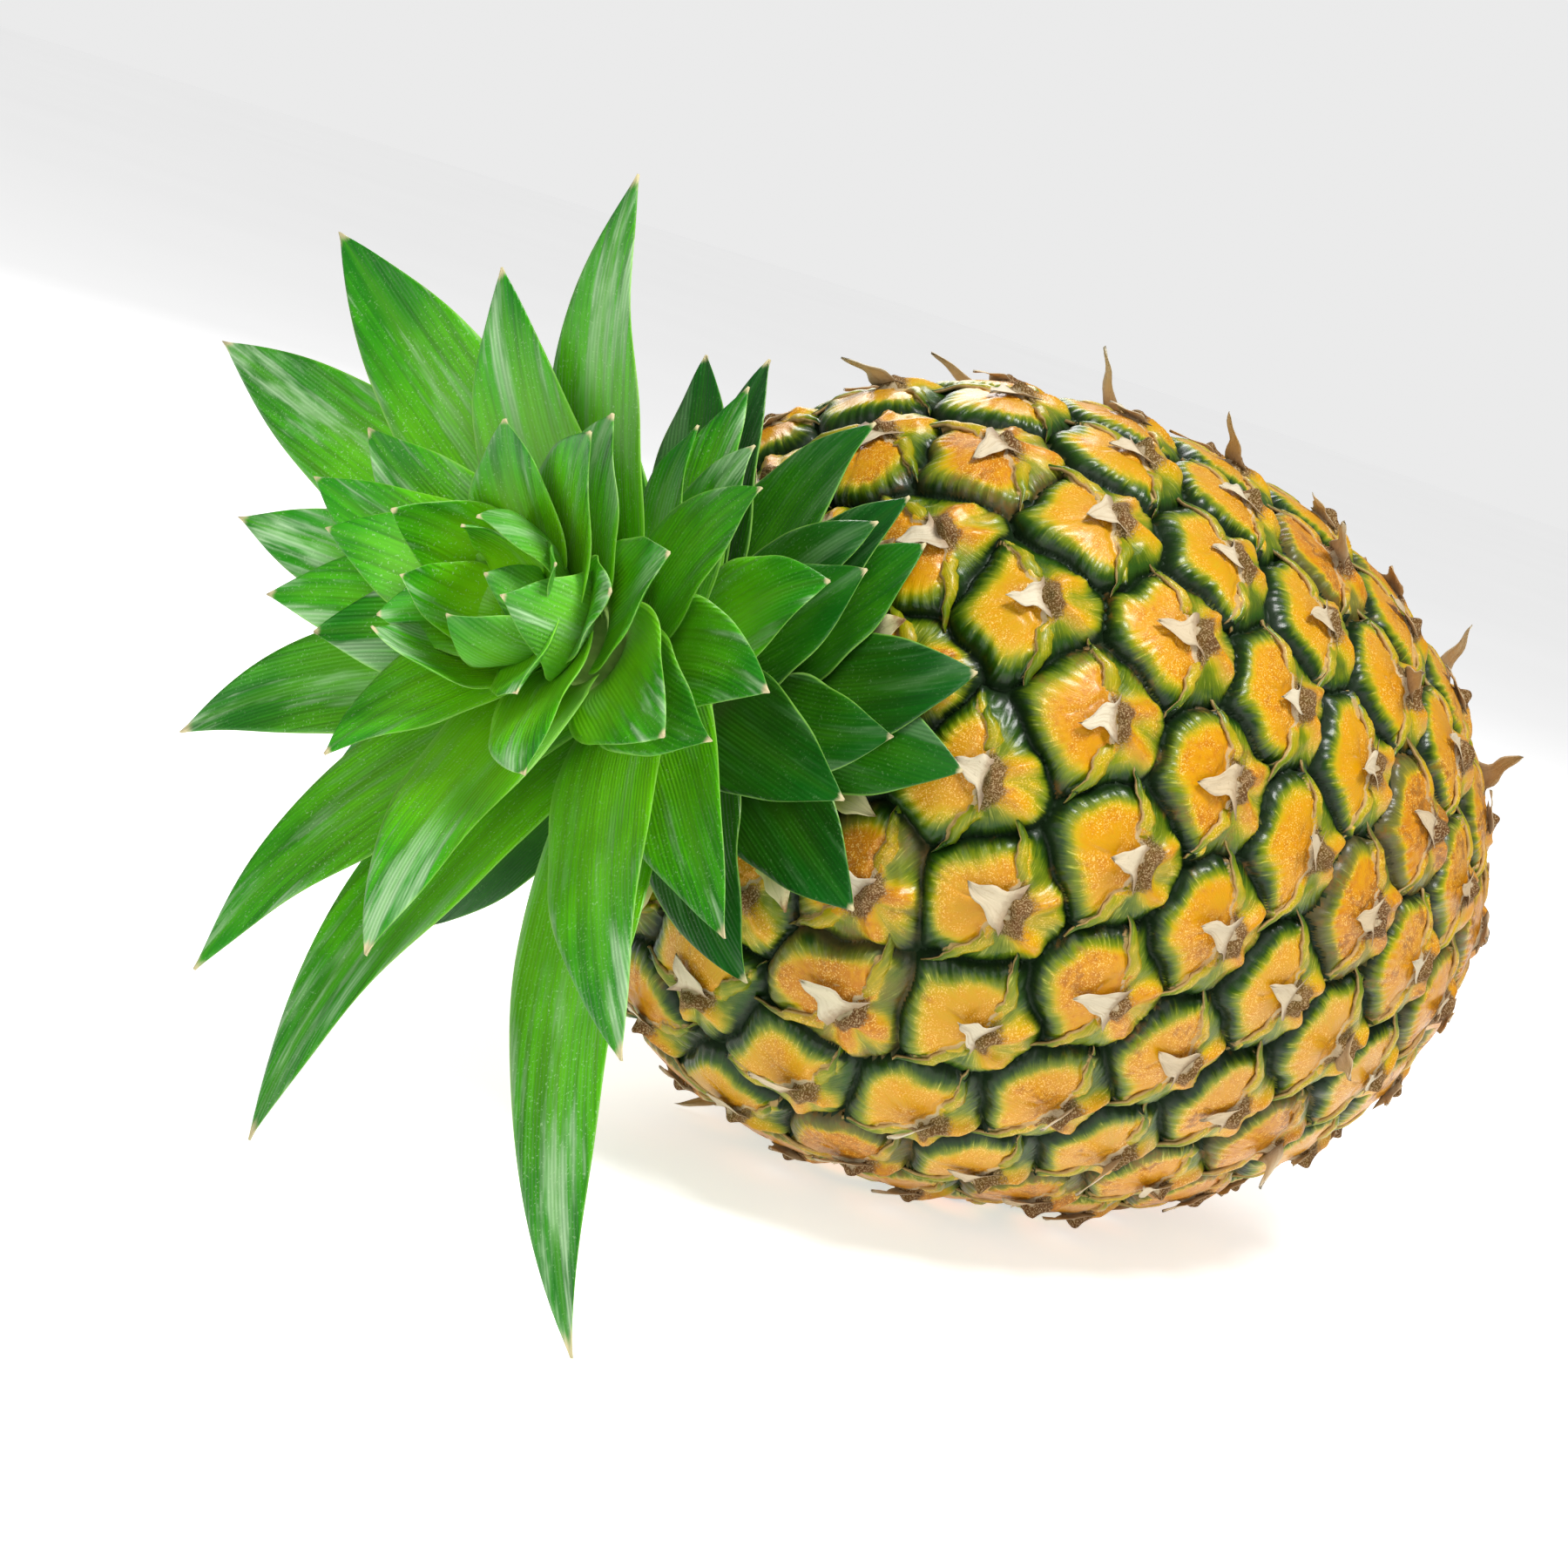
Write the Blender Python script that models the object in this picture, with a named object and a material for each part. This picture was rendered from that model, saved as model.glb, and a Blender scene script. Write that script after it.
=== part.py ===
"""A whole pineapple lying on its side: fruit, cut stalk, crown core and crown leaves.

The fruit is modelled upright about its own axis, crown end up, and then laid down.  Its eyes sit
on the spiral lattice in which pineapple eyes grow.  The crown leaves grow from a tapering core,
and each follows its own flaring surface, nested inside that of the leaf below it.
Lengths are in metres and angles in degrees, unless a name says otherwise.
"""
import math

import bmesh
import bpy
import numpy as np
from mathutils import Matrix, Vector

# The fruit: a barrel with a blunt shoulder at the crown and a tapering one at the stalk
FRUIT_RADIUS = 0.060
CROWN_END = 1.256 * FRUIT_RADIUS
STALK_END = 1.419 * FRUIT_RADIUS
CROWN_SHOULDER = 3.0
STALK_SHOULDER = 1.9
NECK_RADIUS = 0.019
BASE_RADIUS = 0.017
NECK_DISH = 0.001
BASE_DISH = 0.003

# The eyes of the rind, one after another down a spiral that starts at the crown
EYE_TURN = -137.39
EYE_AREA = 0.0918 * FRUIT_RADIUS ** 2
REFERENCE_EYE_HEIGHT = 1.051 * FRUIT_RADIUS
REFERENCE_EYE_ANGLE = -48.4
EYE_BULGE = 0.0011
GROOVE_DEPTH = 0.0013
GROOVE_WIDTH = 0.0045

# How it lies
TILT = 6.8
CROWN_BEND = 5.0
BELLY_CUT = 0.0013
BELLY_SMOOTH_INNER = 0.016
BELLY_SMOOTH_OUTER = 0.030
FIT_GAP = 0.0003

# Cut stalk and crown core
STALK_RADIUS = 0.0115
STALK_LENGTH = 0.009
CORE_LENGTH = 0.042
CORE_RADIUS_LOW = 0.0135
CORE_RADIUS_HIGH = 0.0022

# Crown leaves: the angle from the crown axis at the base and at the tip of the lowest leaf, and
# of a leaf at the heart
LEAF_THICKNESS = 0.0006
LEAF_ROWS = 9
LEAF_WRAP = 48.0
LEAF_STANDOFF = 0.0015
LOW_OPENING = (84.0, 122.0)
HEART_OPENING = (30.0, 52.0)
FIRST_LEAF_RISE = 0.0010
LEAF_SPACING = 0.00072
LEAF_SWEEP = 7.0

# Each crown leaf from the fruit up to the heart: direction around the crown axis (0 is up as the
# fruit lies, 90 is to the back), length and greatest width in millimetres.  A leaf of length
# PROP reaches the ground and props the crown up.
PROP = 0
BASAL_LEAVES = (
    (-81, 27, 19), (-67, 27, 19), (150, 28, 19), (-38, 24, 18), (-112, 28, 19), (70, 28, 18),
    (-86, 21, 16), (-175, 32, 19), (-30, 28, 17), (110, 30, 19), (-6, 32, 19), (-138, 34, 19),
    (-30, 25, 16), (14, 35, 17), (-51, 23, 19), (165, 38, 19), (18, 35, 18), (-95, 32, 18),
)
OUTER_LEAVES = (
    (12, 30, 16), (124, 49, 21), (-46, 23, 18), (80, 92, 25), (-146, PROP, 23), (-4, 24, 15),
    (115, 67, 23), (-115, 46, 20), (33, 33, 16), (172, PROP, 23), (5, 24, 11), (-132, 62, 21),
    (59, 70, 26), (-78, 36, 18), (155, 62, 22), (-40, 32, 17), (97, 53, 21), (-100, 40, 18),
    (12, 55, 21),
)
INNER_LEAVES = (
    (103, 42, 18), (-98, 36, 17), (34, 44, 18), (-165, 50, 19), (76, 36, 17), (-62, 27, 15),
    (116, 30, 17), (-8, 27, 16), (-130, 32, 15), (87, 35, 15), (-70, 22, 13), (160, 30, 15),
    (-20, 28, 15), (90, 28, 15), (-115, 24, 13), (16, 23, 14), (116, 17, 12), (-60, 18, 11),
)

COLOURS = {
    "rind": ((0.52, 0.30, 0.03), 0.55),
    "stalk": ((0.42, 0.30, 0.16), 0.85),
    "core": ((0.40, 0.55, 0.20), 0.60),
    "leaf": ((0.06, 0.25, 0.03), 0.40),
}


def shoulder(z):
    """Radius of the smooth barrel at height z above its widest ring."""
    if z >= 0.0:
        reach, power = CROWN_END, CROWN_SHOULDER
    else:
        reach, power = STALK_END, STALK_SHOULDER
    fill = max(0.0, 1.0 - abs(z / reach) ** power)
    return FRUIT_RADIUS * fill ** (1.0 / power)


def height_at_radius(radius, reach, power):
    """Distance from the widest ring at which the barrel has narrowed to this radius."""
    return reach * (1.0 - (radius / FRUIT_RADIUS) ** power) ** (1.0 / power)


NECK_HEIGHT = height_at_radius(NECK_RADIUS, CROWN_END, CROWN_SHOULDER)
BASE_HEIGHT = -height_at_radius(BASE_RADIUS, STALK_END, STALK_SHOULDER)


def barrel_samples(low, high, count=2000):
    """Heights, radii and the rind area above each height, for heights from low to high."""
    heights = np.linspace(low, high, count)
    radii = np.array([shoulder(z) for z in heights])
    slant = np.hypot(np.diff(heights), np.diff(radii))
    bands = math.pi * (radii[1:] + radii[:-1]) * slant
    area_below = np.concatenate(([0.0], np.cumsum(bands)))
    return heights, radii, area_below[-1] - area_below


def eye_centres():
    """Points of the rind at which eyes grow: equal area to each, a constant turn between them."""
    heights, _, area_above = barrel_samples(-STALK_END, CROWN_END)
    reference_area = float(np.interp(REFERENCE_EYE_HEIGHT, heights, area_above))
    first = -int(reference_area / EYE_AREA)
    last = int((area_above[0] - reference_area) / EYE_AREA)
    points = []
    for index in range(first, last + 1):
        area = reference_area + index * EYE_AREA
        z = float(np.interp(area, area_above[::-1], heights[::-1]))
        angle = math.radians(REFERENCE_EYE_ANGLE + EYE_TURN * index)
        radius = shoulder(z)
        points.append((radius * math.cos(angle), radius * math.sin(angle), z))
    return np.array(points)


def eye_relief(points, centres):
    """Outward lift of rind points: bulging eyes with grooves where two eyes meet."""
    gaps = np.linalg.norm(points[:, None, :] - centres[None, :, :], axis=2)
    gaps.sort(axis=1)
    to_groove = (gaps[:, 1] - gaps[:, 0]) / GROOVE_WIDTH
    return (EYE_BULGE + GROOVE_DEPTH) * (1.0 - np.exp(-to_groove ** 2)) - GROOVE_DEPTH


def meridian(count):
    """The fruit's outline from the middle of its neck to the middle of its base."""
    body = [(shoulder(z), z) for z in np.linspace(NECK_HEIGHT, BASE_HEIGHT, 400)]
    outline = [(0.0, NECK_HEIGHT - NECK_DISH)] + body + [(0.0, BASE_HEIGHT + BASE_DISH)]
    outline = np.array(outline)
    steps = np.linalg.norm(np.diff(outline, axis=0), axis=1)
    travelled = np.concatenate(([0.0], np.cumsum(steps)))
    wanted = np.linspace(0.0, travelled[-1], count)
    radii = np.interp(wanted, travelled, outline[:, 0])
    heights = np.interp(wanted, travelled, outline[:, 1])
    return radii, heights


def lowest_ring():
    """Height along the fruit's axis, and radius, of the point that rests on the ground."""
    tilt = math.radians(TILT)
    heights, radii, _ = barrel_samples(BASE_HEIGHT, NECK_HEIGHT)
    drop = radii * math.cos(tilt) - heights * math.sin(tilt)
    place = int(np.argmax(drop))
    return float(heights[place]), float(radii[place]), float(drop[place])


def lying_matrix():
    """Places the upright fruit on its side, crown end towards -X and a little raised."""
    tilt = math.radians(TILT)
    ring_height, ring_radius, drop = lowest_ring()
    turn = Matrix.Rotation(tilt - math.pi / 2, 4, "Y")
    touch = turn @ Vector((-ring_radius, 0.0, ring_height))
    return Matrix.Translation((-touch.x, 0.0, drop - BELLY_CUT)) @ turn


def material(name, key):
    """A plain Principled material of one of the fruit's colours."""
    colour, roughness = COLOURS[key]
    made = bpy.data.materials.new(name)
    made.use_nodes = True
    shader = made.node_tree.nodes["Principled BSDF"]
    shader.inputs["Base Color"].default_value = (*colour, 1.0)
    shader.inputs["Roughness"].default_value = roughness
    shader.inputs["Metallic"].default_value = 0.0
    return made


def add_object(name, shape, key, parent):
    """Turns a bmesh into a named, smooth-shaded object under its parent."""
    bmesh.ops.recalc_face_normals(shape, faces=shape.faces)
    mesh = bpy.data.meshes.new(name)
    shape.to_mesh(mesh)
    shape.free()
    mesh.shade_smooth()
    mesh.materials.append(material(name + "_skin", key))
    item = bpy.data.objects.new(name, mesh)
    item.parent = parent
    bpy.context.scene.collection.objects.link(item)
    return item


def add_frame(name, matrix, parent=None):
    """An empty that carries the pieces placed in its frame."""
    empty = bpy.data.objects.new(name, None)
    bpy.context.scene.collection.objects.link(empty)
    empty.parent = parent
    empty.matrix_local = matrix
    return empty


def smooth_ramp(value, low, high):
    """Rises smoothly from 0 at low to 1 at high."""
    share = np.clip((value - low) / (high - low), 0.0, 1.0)
    return share * share * (3.0 - 2.0 * share)


def fruit_body(parent, around=84, along=44):
    """The fruit in one piece: barrel, eyes in low relief, and the flat spot it lies on."""
    radii, heights = meridian(along + 1)
    shape = bmesh.new()
    bmesh.ops.create_uvsphere(shape, u_segments=around, v_segments=along, radius=1.0)
    for vertex in shape.verts:
        down = math.acos(max(-1.0, min(1.0, vertex.co.z)))
        ring = int(round(down / math.pi * along))
        angle = math.atan2(vertex.co.y, vertex.co.x)
        spot = (radii[ring] * math.cos(angle), radii[ring] * math.sin(angle), heights[ring])
        vertex.co = spot
    shape.normal_update()

    points = np.array([vertex.co[:] for vertex in shape.verts])
    lift = eye_relief(points, eye_centres())
    inside_neck = smooth_ramp(heights.max() - points[:, 2], 0.001, 0.006)
    inside_base = smooth_ramp(points[:, 2] - heights.min(), 0.001, 0.006)
    ring_height, ring_radius, _ = lowest_ring()
    belly = np.linalg.norm(points - np.array([-ring_radius, 0.0, ring_height]), axis=1)
    lift *= inside_neck * inside_base * smooth_ramp(belly, BELLY_SMOOTH_INNER, BELLY_SMOOTH_OUTER)
    for vertex, amount in zip(list(shape.verts), lift):
        vertex.co += vertex.normal * float(amount)

    lying = lying_matrix()
    ground_point = lying.inverted() @ Vector((0.0, 0.0, 0.0))
    ground_normal = lying.inverted().to_3x3() @ Vector((0.0, 0.0, -1.0))
    everything = shape.verts[:] + shape.edges[:] + shape.faces[:]
    cut = bmesh.ops.bisect_plane(
        shape,
        geom=everything,
        plane_co=ground_point,
        plane_no=ground_normal,
        clear_outer=True,
    )
    rim = [item for item in cut["geom_cut"] if isinstance(item, bmesh.types.BMEdge)]
    bmesh.ops.holes_fill(shape, edges=rim)
    return add_object("fruit_body", shape, "rind", parent)


def stalk_stub(parent):
    """The dry stalk, cut off short under the fruit."""
    shape = bmesh.new()
    bmesh.ops.create_cone(
        shape,
        cap_ends=True,
        segments=32,
        radius1=STALK_RADIUS * 0.9,
        radius2=STALK_RADIUS,
        depth=STALK_LENGTH,
    )
    top = BASE_HEIGHT - FIT_GAP
    bmesh.ops.translate(shape, verts=shape.verts, vec=(0.0, 0.0, top - STALK_LENGTH / 2))
    return add_object("stalk_stub", shape, "stalk", parent)


def core_radius(rise):
    """Radius of the tapering crown core at this rise above the fruit's neck."""
    share = min(1.0, max(0.0, rise / CORE_LENGTH))
    return CORE_RADIUS_LOW + (CORE_RADIUS_HIGH - CORE_RADIUS_LOW) * share


def crown_core(parent):
    """The short stem inside the crown that the leaves grow from."""
    shape = bmesh.new()
    bmesh.ops.create_cone(
        shape,
        cap_ends=True,
        segments=24,
        radius1=CORE_RADIUS_LOW,
        radius2=CORE_RADIUS_HIGH,
        depth=CORE_LENGTH,
    )
    bmesh.ops.translate(shape, verts=shape.verts, vec=(0.0, 0.0, CORE_LENGTH / 2))
    return add_object("crown_core", shape, "core", parent)


def leaf_half_width(share, width):
    """Half the leaf's width at a share of its length: clasping base, broad blade, sharp tip."""
    widening = 0.80 + 0.20 * math.sin(min(1.0, share / 0.30) * math.pi / 2)
    return max(0.0002, 0.5 * width * widening * (1.0 - share ** 2.3))


def leaf_spine(rise, length, rows):
    """Distances from the crown axis and rises of the points along the middle of a leaf."""
    up = rise / CORE_LENGTH
    start = math.radians(LOW_OPENING[0] + (HEART_OPENING[0] - LOW_OPENING[0]) * up)
    finish = math.radians(LOW_OPENING[1] + (HEART_OPENING[1] - LOW_OPENING[1]) * up)
    fine = 40
    step = length / fine
    out, high = core_radius(rise) + LEAF_STANDOFF, rise
    outs, highs = [out], [high]
    for stride in range(fine):
        opening = start + (finish - start) * ((stride + 0.5) / fine)
        out += step * math.sin(opening)
        high += step * math.cos(opening)
        outs.append(out)
        highs.append(high)
    wanted = np.linspace(0, fine, rows + 1)
    return np.interp(wanted, range(fine + 1), outs), np.interp(wanted, range(fine + 1), highs)


def leaf_point(direction, sweep, out, high, share, angle=0.0):
    """A point of a leaf in the crown's frame; the blade drifts sideways along its length."""
    turned = math.radians(direction + sweep * share ** 2) + angle
    return Vector((out * math.cos(turned), out * math.sin(turned), high))


def prop_length(direction, sweep, rise, crown_matrix):
    """The length at which a leaf's tip comes down to the ground, found by halving."""
    short, long = 0.03, 0.16
    for _ in range(30):
        middle = (short + long) / 2
        outs, highs = leaf_spine(rise, middle, 1)
        tip = crown_matrix @ leaf_point(direction, sweep, outs[-1], highs[-1], 1.0)
        if tip.z > LEAF_THICKNESS:
            short = middle
        else:
            long = middle
    return short


def crown_leaf(name, direction, sweep, rise, length, width, parent):
    """One crown leaf: a channelled blade that clasps the core and flares out from it."""
    outs, highs = leaf_spine(rise, length, LEAF_ROWS)
    shape = bmesh.new()
    bmesh.ops.create_grid(shape, x_segments=LEAF_ROWS, y_segments=2, size=0.5)
    for vertex in shape.verts:
        share = round((vertex.co.x + 0.5) * LEAF_ROWS) / LEAF_ROWS
        row = int(round(share * LEAF_ROWS))
        half = leaf_half_width(share, width)
        spread = min(half / outs[row], math.radians(LEAF_WRAP))
        angle = vertex.co.y * 2.0 * spread
        vertex.co = leaf_point(direction, sweep, outs[row], highs[row], share, angle)
    leaf = add_object(name, shape, "leaf", parent)
    thicken = leaf.modifiers.new("thickness", "SOLIDIFY")
    thicken.thickness = LEAF_THICKNESS
    thicken.offset = 0.0
    return leaf


def crown_leaves(parent, crown_matrix):
    """All crown leaves, from the recurved ones on the fruit's shoulder up to the heart."""
    leaves = BASAL_LEAVES + OUTER_LEAVES + INNER_LEAVES
    for order, (direction, length, width) in enumerate(leaves):
        rise = FIRST_LEAF_RISE + LEAF_SPACING * order
        sweep = LEAF_SWEEP * math.sin(2.4 * order)
        reach = length / 1000
        if length == PROP:
            reach = prop_length(direction, sweep, rise, crown_matrix)
        name = "leaf_%02d" % (order + 1)
        crown_leaf(name, direction, sweep, rise, reach, width / 1000, parent)


def main():
    for item in list(bpy.data.objects):
        bpy.data.objects.remove(item, do_unlink=True)
    lying_place = lying_matrix()
    lying = add_frame("fruit_frame", lying_place)
    fruit_body(lying)
    stalk_stub(lying)
    bend = Matrix.Rotation(math.radians(CROWN_BEND), 4, "Y")
    core_lift = FIT_GAP + CORE_RADIUS_LOW * math.sin(math.radians(CROWN_BEND))
    crown_place = Matrix.Translation((0.0, 0.0, NECK_HEIGHT + core_lift)) @ bend
    crown = add_frame("crown_frame", crown_place, lying)
    crown_core(crown)
    crown_leaves(crown, lying_place @ crown_place)
    bpy.context.view_layer.update()


main()
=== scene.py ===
"""The looks of a whole pineapple lying on its side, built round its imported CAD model.

Lengths are in metres in the meshes and in millimetres inside the relief formulas.
"""
import math

import bmesh
import bpy
import numpy as np
from mathutils import Matrix, Vector


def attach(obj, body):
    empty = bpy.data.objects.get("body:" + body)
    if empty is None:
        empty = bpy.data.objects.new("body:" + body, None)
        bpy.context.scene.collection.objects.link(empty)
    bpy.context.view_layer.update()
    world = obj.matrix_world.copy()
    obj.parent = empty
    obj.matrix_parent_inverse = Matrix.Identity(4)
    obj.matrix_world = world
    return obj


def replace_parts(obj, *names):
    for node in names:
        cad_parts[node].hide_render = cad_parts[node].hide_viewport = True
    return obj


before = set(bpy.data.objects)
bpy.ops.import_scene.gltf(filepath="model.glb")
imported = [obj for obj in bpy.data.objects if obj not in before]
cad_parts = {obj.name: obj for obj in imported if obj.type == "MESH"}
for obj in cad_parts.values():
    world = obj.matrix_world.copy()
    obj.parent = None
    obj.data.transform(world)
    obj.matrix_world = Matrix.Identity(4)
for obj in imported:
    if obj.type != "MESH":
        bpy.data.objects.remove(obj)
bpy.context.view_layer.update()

# -----------------------------------------------------------------------------
# The fruit's shape, as in the CAD model: upright about its own axis, then laid down.
# Lengths are in metres and angles in degrees.
# -----------------------------------------------------------------------------
FRUIT_RADIUS = 0.060
CROWN_END = 1.256 * FRUIT_RADIUS
STALK_END = 1.419 * FRUIT_RADIUS
CROWN_SHOULDER = 3.0
STALK_SHOULDER = 1.9
NECK_RADIUS = 0.019
BASE_RADIUS = 0.017
NECK_DISH = 0.001
BASE_DISH = 0.003
EYE_TURN = -137.39
EYE_AREA = 0.0918 * FRUIT_RADIUS ** 2
REFERENCE_EYE_HEIGHT = 1.051 * FRUIT_RADIUS
REFERENCE_EYE_ANGLE = -48.4
TILT = 6.8
CROWN_BEND = 5.0
BELLY_CUT = 0.0013
STALK_RADIUS = 0.0115
STALK_LENGTH = 0.009
FIT_GAP = 0.0003
CORE_LENGTH = 0.042
CORE_RADIUS_LOW = 0.0135
CORE_RADIUS_HIGH = 0.0022
LEAF_THICKNESS = 0.0006
LEAF_WRAP = 48.0
LEAF_STANDOFF = 0.0015
LOW_OPENING = (84.0, 122.0)
HEART_OPENING = (30.0, 52.0)
FIRST_LEAF_RISE = 0.0010
LEAF_SPACING = 0.00072
LEAF_SWEEP = 7.0

# Each leaf's direction about the crown's axis in degrees, and its length and breadth in mm, from
# the fruit's shoulder up to the heart; a leaf of length PROP reaches down to the ground
PROP = 0
BASAL_LEAVES = (
    (-81, 27, 19), (-67, 27, 19), (150, 28, 19), (-38, 24, 18), (-112, 28, 19), (70, 28, 18),
    (-86, 21, 16), (-175, 32, 19), (-30, 28, 17), (110, 30, 19), (-6, 32, 19), (-138, 34, 19),
    (-30, 25, 16), (14, 35, 17), (-51, 23, 19), (165, 38, 19), (18, 35, 18), (-95, 32, 18),
)
OUTER_LEAVES = (
    (12, 30, 16), (124, 49, 21), (-46, 23, 18), (80, 92, 25), (-146, PROP, 23), (-4, 24, 15),
    (115, 67, 23), (-115, 46, 20), (33, 33, 16), (172, PROP, 23), (5, 24, 11), (-132, 62, 21),
    (59, 70, 26), (-78, 36, 18), (155, 62, 22), (-40, 32, 17), (97, 53, 21), (-100, 40, 18),
    (12, 55, 21),
)
INNER_LEAVES = (
    (103, 42, 18), (-98, 36, 17), (34, 44, 18), (-165, 50, 19), (76, 36, 17), (-62, 27, 15),
    (116, 30, 17), (-8, 27, 16), (-130, 32, 15), (87, 35, 15), (-70, 22, 13), (160, 30, 15),
    (-20, 28, 15), (90, 28, 15), (-115, 24, 13), (16, 23, 14), (116, 17, 12), (-60, 18, 11),
)

# How much broader than their CAD nodes the inner leaves are, and two of them more than the rest
INNER_BREADTH = 1.25
BROAD_BREADTH = 1.50
BROAD_LEAVES = (49, 52)

# Small leaves closed over the tip of the core, each with its opening angle at foot and tip
FIRST_HEART_ORDER = 46
HEART_LEAVES = (
    (-84, 24, 17, 50, -18), (158, 25, 17, 38, -12), (62, 25, 17, 36, -10), (-22, 23, 16, 34, -14),
    (-130, 21, 15, 30, -16), (112, 19, 13, 26, -12), (18, 17, 12, 22, -10), (-75, 15, 11, 18, -8),
)

# Fineness of the rind and how many pieces it is shared among; neighbouring eyes never share one
RIND_COLUMNS = 1080
RIND_ROWS = 590
RIND_PIECES = 9
EYE_LEAN = 0.11
COLLAR_BRACTS = 17

# Seeds of the random traits of eyes, basal bracts and leaves
EYE_SEED = 7
COLLAR_SEED = 900
LEAF_SEED = 500

# Directions of an eye's creases in radians, and the direction, height in mm and ripeness of the
# three ridges of its bract
CREASES = (0.15, 2.2, -2.1)
BRACT_RIDGES = ((-0.55, 1.45, 1.0), (0.56, 1.40, 1.0), (0.03, 0.45, 0.5))

# How far in mm the corners between three eyes are rounded off, and points handled at a time
CORNER_SOFTNESS = 0.50
BATCH = 60000

# Thickness in mm of the papery tips, the bract arms and the basal bracts
TIP_THICKNESS = 0.09
ARM_THICKNESS = 0.45
COLLAR_THICKNESS = 0.10


def shoulder(z):
    """Radius of the smooth barrel at height z above its widest ring."""
    if z >= 0.0:
        reach, power = CROWN_END, CROWN_SHOULDER
    else:
        reach, power = STALK_END, STALK_SHOULDER
    fill = max(0.0, 1.0 - abs(z / reach) ** power)
    return FRUIT_RADIUS * fill ** (1.0 / power)


def height_at_radius(radius, reach, power):
    """Distance from the widest ring at which the barrel has narrowed to this radius."""
    return reach * (1.0 - (radius / FRUIT_RADIUS) ** power) ** (1.0 / power)


NECK_HEIGHT = height_at_radius(NECK_RADIUS, CROWN_END, CROWN_SHOULDER)
BASE_HEIGHT = -height_at_radius(BASE_RADIUS, STALK_END, STALK_SHOULDER)


def barrel_samples(low, high, count=2000):
    """Heights, radii and the rind area above each height, for heights from low to high."""
    heights = np.linspace(low, high, count)
    radii = np.array([shoulder(z) for z in heights])
    slant = np.hypot(np.diff(heights), np.diff(radii))
    bands = math.pi * (radii[1:] + radii[:-1]) * slant
    area_below = np.concatenate(([0.0], np.cumsum(bands)))
    return heights, radii, area_below[-1] - area_below


def lowest_ring():
    """Height along the fruit's axis, radius and depth of the point that rests on the ground."""
    tilt = math.radians(TILT)
    heights, radii, _ = barrel_samples(BASE_HEIGHT, NECK_HEIGHT)
    drop = radii * math.cos(tilt) - heights * math.sin(tilt)
    place = int(np.argmax(drop))
    return float(heights[place]), float(radii[place]), float(drop[place])


def lying_matrix():
    """Places the upright fruit on its side, crown end towards -X and a little raised."""
    tilt = math.radians(TILT)
    ring_height, ring_radius, drop = lowest_ring()
    turn = Matrix.Rotation(tilt - math.pi / 2, 4, "Y")
    touch = turn @ Vector((-ring_radius, 0.0, ring_height))
    return Matrix.Translation((-touch.x, 0.0, drop - BELLY_CUT)) @ turn


LYING = lying_matrix()
CROWN_LIFT = FIT_GAP + CORE_RADIUS_LOW * math.sin(math.radians(CROWN_BEND))
CROWN = (
    LYING
    @ Matrix.Translation((0.0, 0.0, NECK_HEIGHT + CROWN_LIFT))
    @ Matrix.Rotation(math.radians(CROWN_BEND), 4, "Y")
)


def placed(points, matrix):
    """Points moved by a matrix."""
    turn = np.array(matrix.to_3x3())
    return points @ turn.T + np.array(matrix.translation)


def ramp(value, low, high):
    """Rises smoothly from 0 at low to 1 at high."""
    share = np.clip((value - low) / (high - low), 0.0, 1.0)
    return share * share * (3.0 - 2.0 * share)


def ripple(points, size, seed):
    """Smooth, irregular waves of about this size in millimetres, from -1 to 1."""
    generator = np.random.default_rng(seed)
    total = np.zeros(len(points))
    for _ in range(5):
        direction = generator.normal(size=3)
        direction /= np.linalg.norm(direction)
        wave = 2.0 * math.pi / (size * generator.uniform(0.75, 1.35))
        total += np.sin(points @ direction * wave + generator.uniform(0.0, 6.28))
    return total / 3.2


# -----------------------------------------------------------------------------
# Materials
# -----------------------------------------------------------------------------
# Rind colours, from groove to disk, and its wool and husks; the groove colour is the rind's dark
# green deepened with painted shade
LEAFY_DEEP = (0.020, 0.064, 0.001, 1)
LEAFY_LIGHT = (0.074, 0.128, 0.001, 1)
GROOVE_GREEN_AND_SHADE = (0.003, 0.014, 0.001, 1)
RIM_OLIVE = (0.165, 0.205, 0.002, 1)
RIPE_YELLOW = (0.490, 0.325, 0.002, 1)
RIPE_AMBER = (0.570, 0.248, 0.001, 1)
DEEP_AMBER = (0.440, 0.135, 0.002, 1)
RUSSET = (0.430, 0.150, 0.002, 1)
THREAD_YELLOW = (0.560, 0.540, 0.110, 1)
SPOT_CREAM = (0.860, 0.600, 0.170, 1)
WORN_BROWN = (0.110, 0.082, 0.026, 1)
BRUISE_BROWN = (0.180, 0.070, 0.010, 1)
WOOL_DARK = (0.070, 0.030, 0.010, 1)
WOOL_LIGHT = (0.370, 0.265, 0.145, 1)
HUSK_DARK = (0.240, 0.110, 0.030, 1)
HUSK_LIGHT = (0.620, 0.430, 0.190, 1)
HUSK_PALE = (0.560, 0.480, 0.330, 1)
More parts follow.
